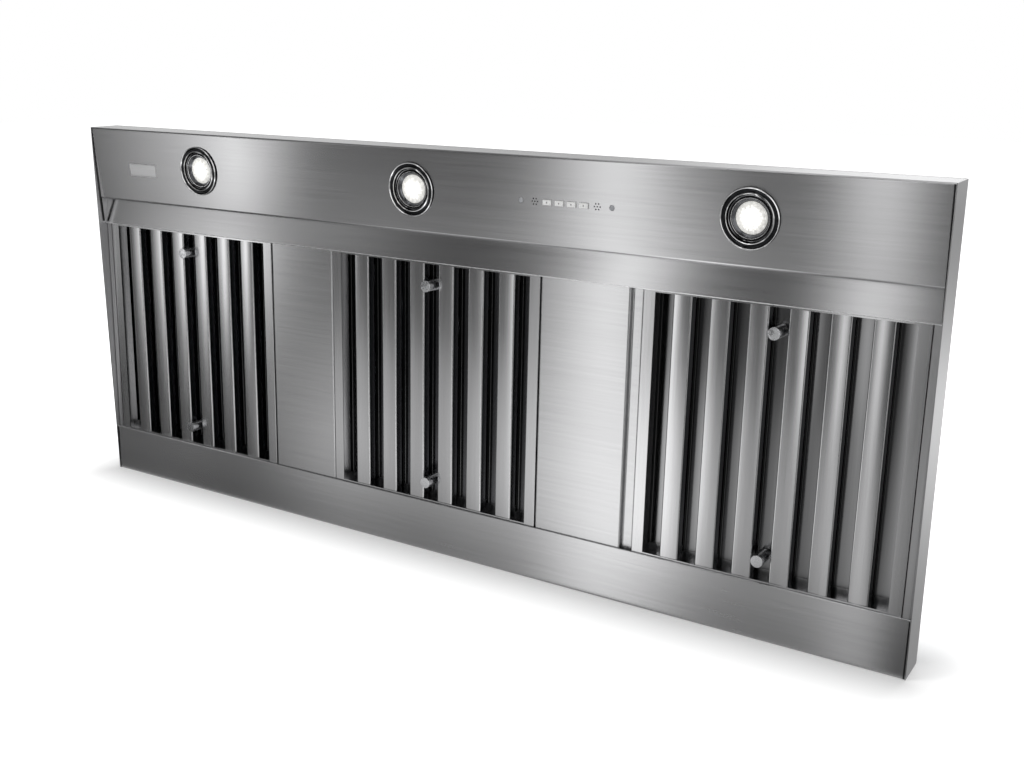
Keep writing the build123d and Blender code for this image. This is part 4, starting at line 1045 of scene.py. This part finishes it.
    def dome(self):
        """Dark dome over the insert, a sphere above the floor, with soft boxes in it. Each is a bell curve
        round the dome between two heights. The dome is paler behind the insert than in front of it."""
        around = np.linspace(-180, 180, 241)
        up = np.linspace(-3, 90, 63)
        turn, rise = np.meshgrid(around, up, indexing="ij")
        glow = DOME_FRONT + DOME_BEHIND * fade(np.abs(turn), *DOME_TURN)
        for middle, width, low, high, strength in DOME_BOXES:
            apart = (turn - middle + 180) % 360 - 180
            above = fade(rise, low - BOX_FOOT, low + BOX_FOOT)
            below = 1 - fade(rise, high - BOX_HEAD, high + BOX_HEAD)
            glow = glow + strength * bell(apart, 0, width) * above * below
        a, e = np.radians(turn), np.radians(rise)
        points = np.stack([np.sin(a) * np.cos(e), -np.cos(a) * np.cos(e), np.sin(e)], axis=-1)
        self.card("dome", DOME_RADIUS * points, glow)

    def surroundings(self):
        """White for what is seen, and a plain grey light for the rest."""
        world = bpy.data.worlds.new("studio")
        bpy.context.scene.world = world
        world.use_nodes = True
        tree = world.node_tree
        tree.nodes.clear()
        split = {0: self.seen(tree), 1: 0.0, 2: 1.0, 3: WORLD_LIGHT, 4: WORLD_SEEN}
        strength = node(tree, "MapRange", split).outputs[0]
        light = node(tree, "Background", {"Color": (1, 1, 1, 1), "Strength": strength})
        out = node(tree, "OutputWorld")
        tree.links.new(light.outputs["Background"], out.inputs["Surface"])

    def lamp(self, name, place, aim, size, power):
        """A rectangular soft box that looks at a point."""
        data = bpy.data.lights.new(name, "AREA")
        data.shape = "RECTANGLE"
        data.size, data.size_y = size
        data.energy = power
        made = placed(name, data)
        made.location = place
        made.rotation_euler = (Vector(aim) - Vector(place)).to_track_quat("-Z", "Y").to_euler()
        made.visible_camera = False
        made.visible_glossy = False

    def camera(self):
        """At the photograph's viewpoint."""
        data = bpy.data.cameras.new("camera")
        data.lens = CAMERA_LENS
        data.sensor_width = CAMERA_SENSOR
        data.sensor_fit = "HORIZONTAL"
        camera = placed("camera", data)
        turn = Matrix((CAMERA_RIGHT, -CAMERA_DOWN, -CAMERA_FORWARD)).transposed().to_4x4()
        camera.matrix_world = Matrix.Translation(CAMERA_PLACE) @ turn
        bpy.context.scene.camera = camera


class HOOD_PT_panel(bpy.types.Panel):
    bl_label = "Range hood insert"
    bl_idname = "HOOD_PT_panel"
    bl_space_type = "VIEW_3D"
    bl_region_type = "UI"
    bl_category = "Hood Insert"

    def draw(self, context):
        for operator in OPERATORS:
            self.layout.operator(operator.bl_idname)
        for group in (context.scene.hood_sizes, context.scene.hood_colours):
            for key in group.__annotations__:
                self.layout.prop(group, key)


OPERATORS = (HOOD_OT_stage, HOOD_OT_sheets, HOOD_OT_filters, HOOD_OT_lights, HOOD_OT_controls, HOOD_OT_badge,
             HOOD_OT_housing)
CLASSES = (HoodSizes, HoodColours) + OPERATORS + (HOOD_PT_panel,)


def register():
    for made in CLASSES:
        bpy.utils.register_class(made)
    bpy.types.Scene.hood_sizes = bpy.props.PointerProperty(type=HoodSizes)
    bpy.types.Scene.hood_colours = bpy.props.PointerProperty(type=HoodColours)


def unregister():
    del bpy.types.Scene.hood_sizes
    del bpy.types.Scene.hood_colours
    for made in reversed(CLASSES):
        bpy.utils.unregister_class(made)


def main():
    register()
    bpy.ops.hood.stage()
    bpy.ops.hood.sheets()
    bpy.ops.hood.filters()
    bpy.ops.hood.lights()
    bpy.ops.hood.controls()
    bpy.ops.hood.badge()
    bpy.ops.hood.housing()


if __name__ == "__main__":
    main()
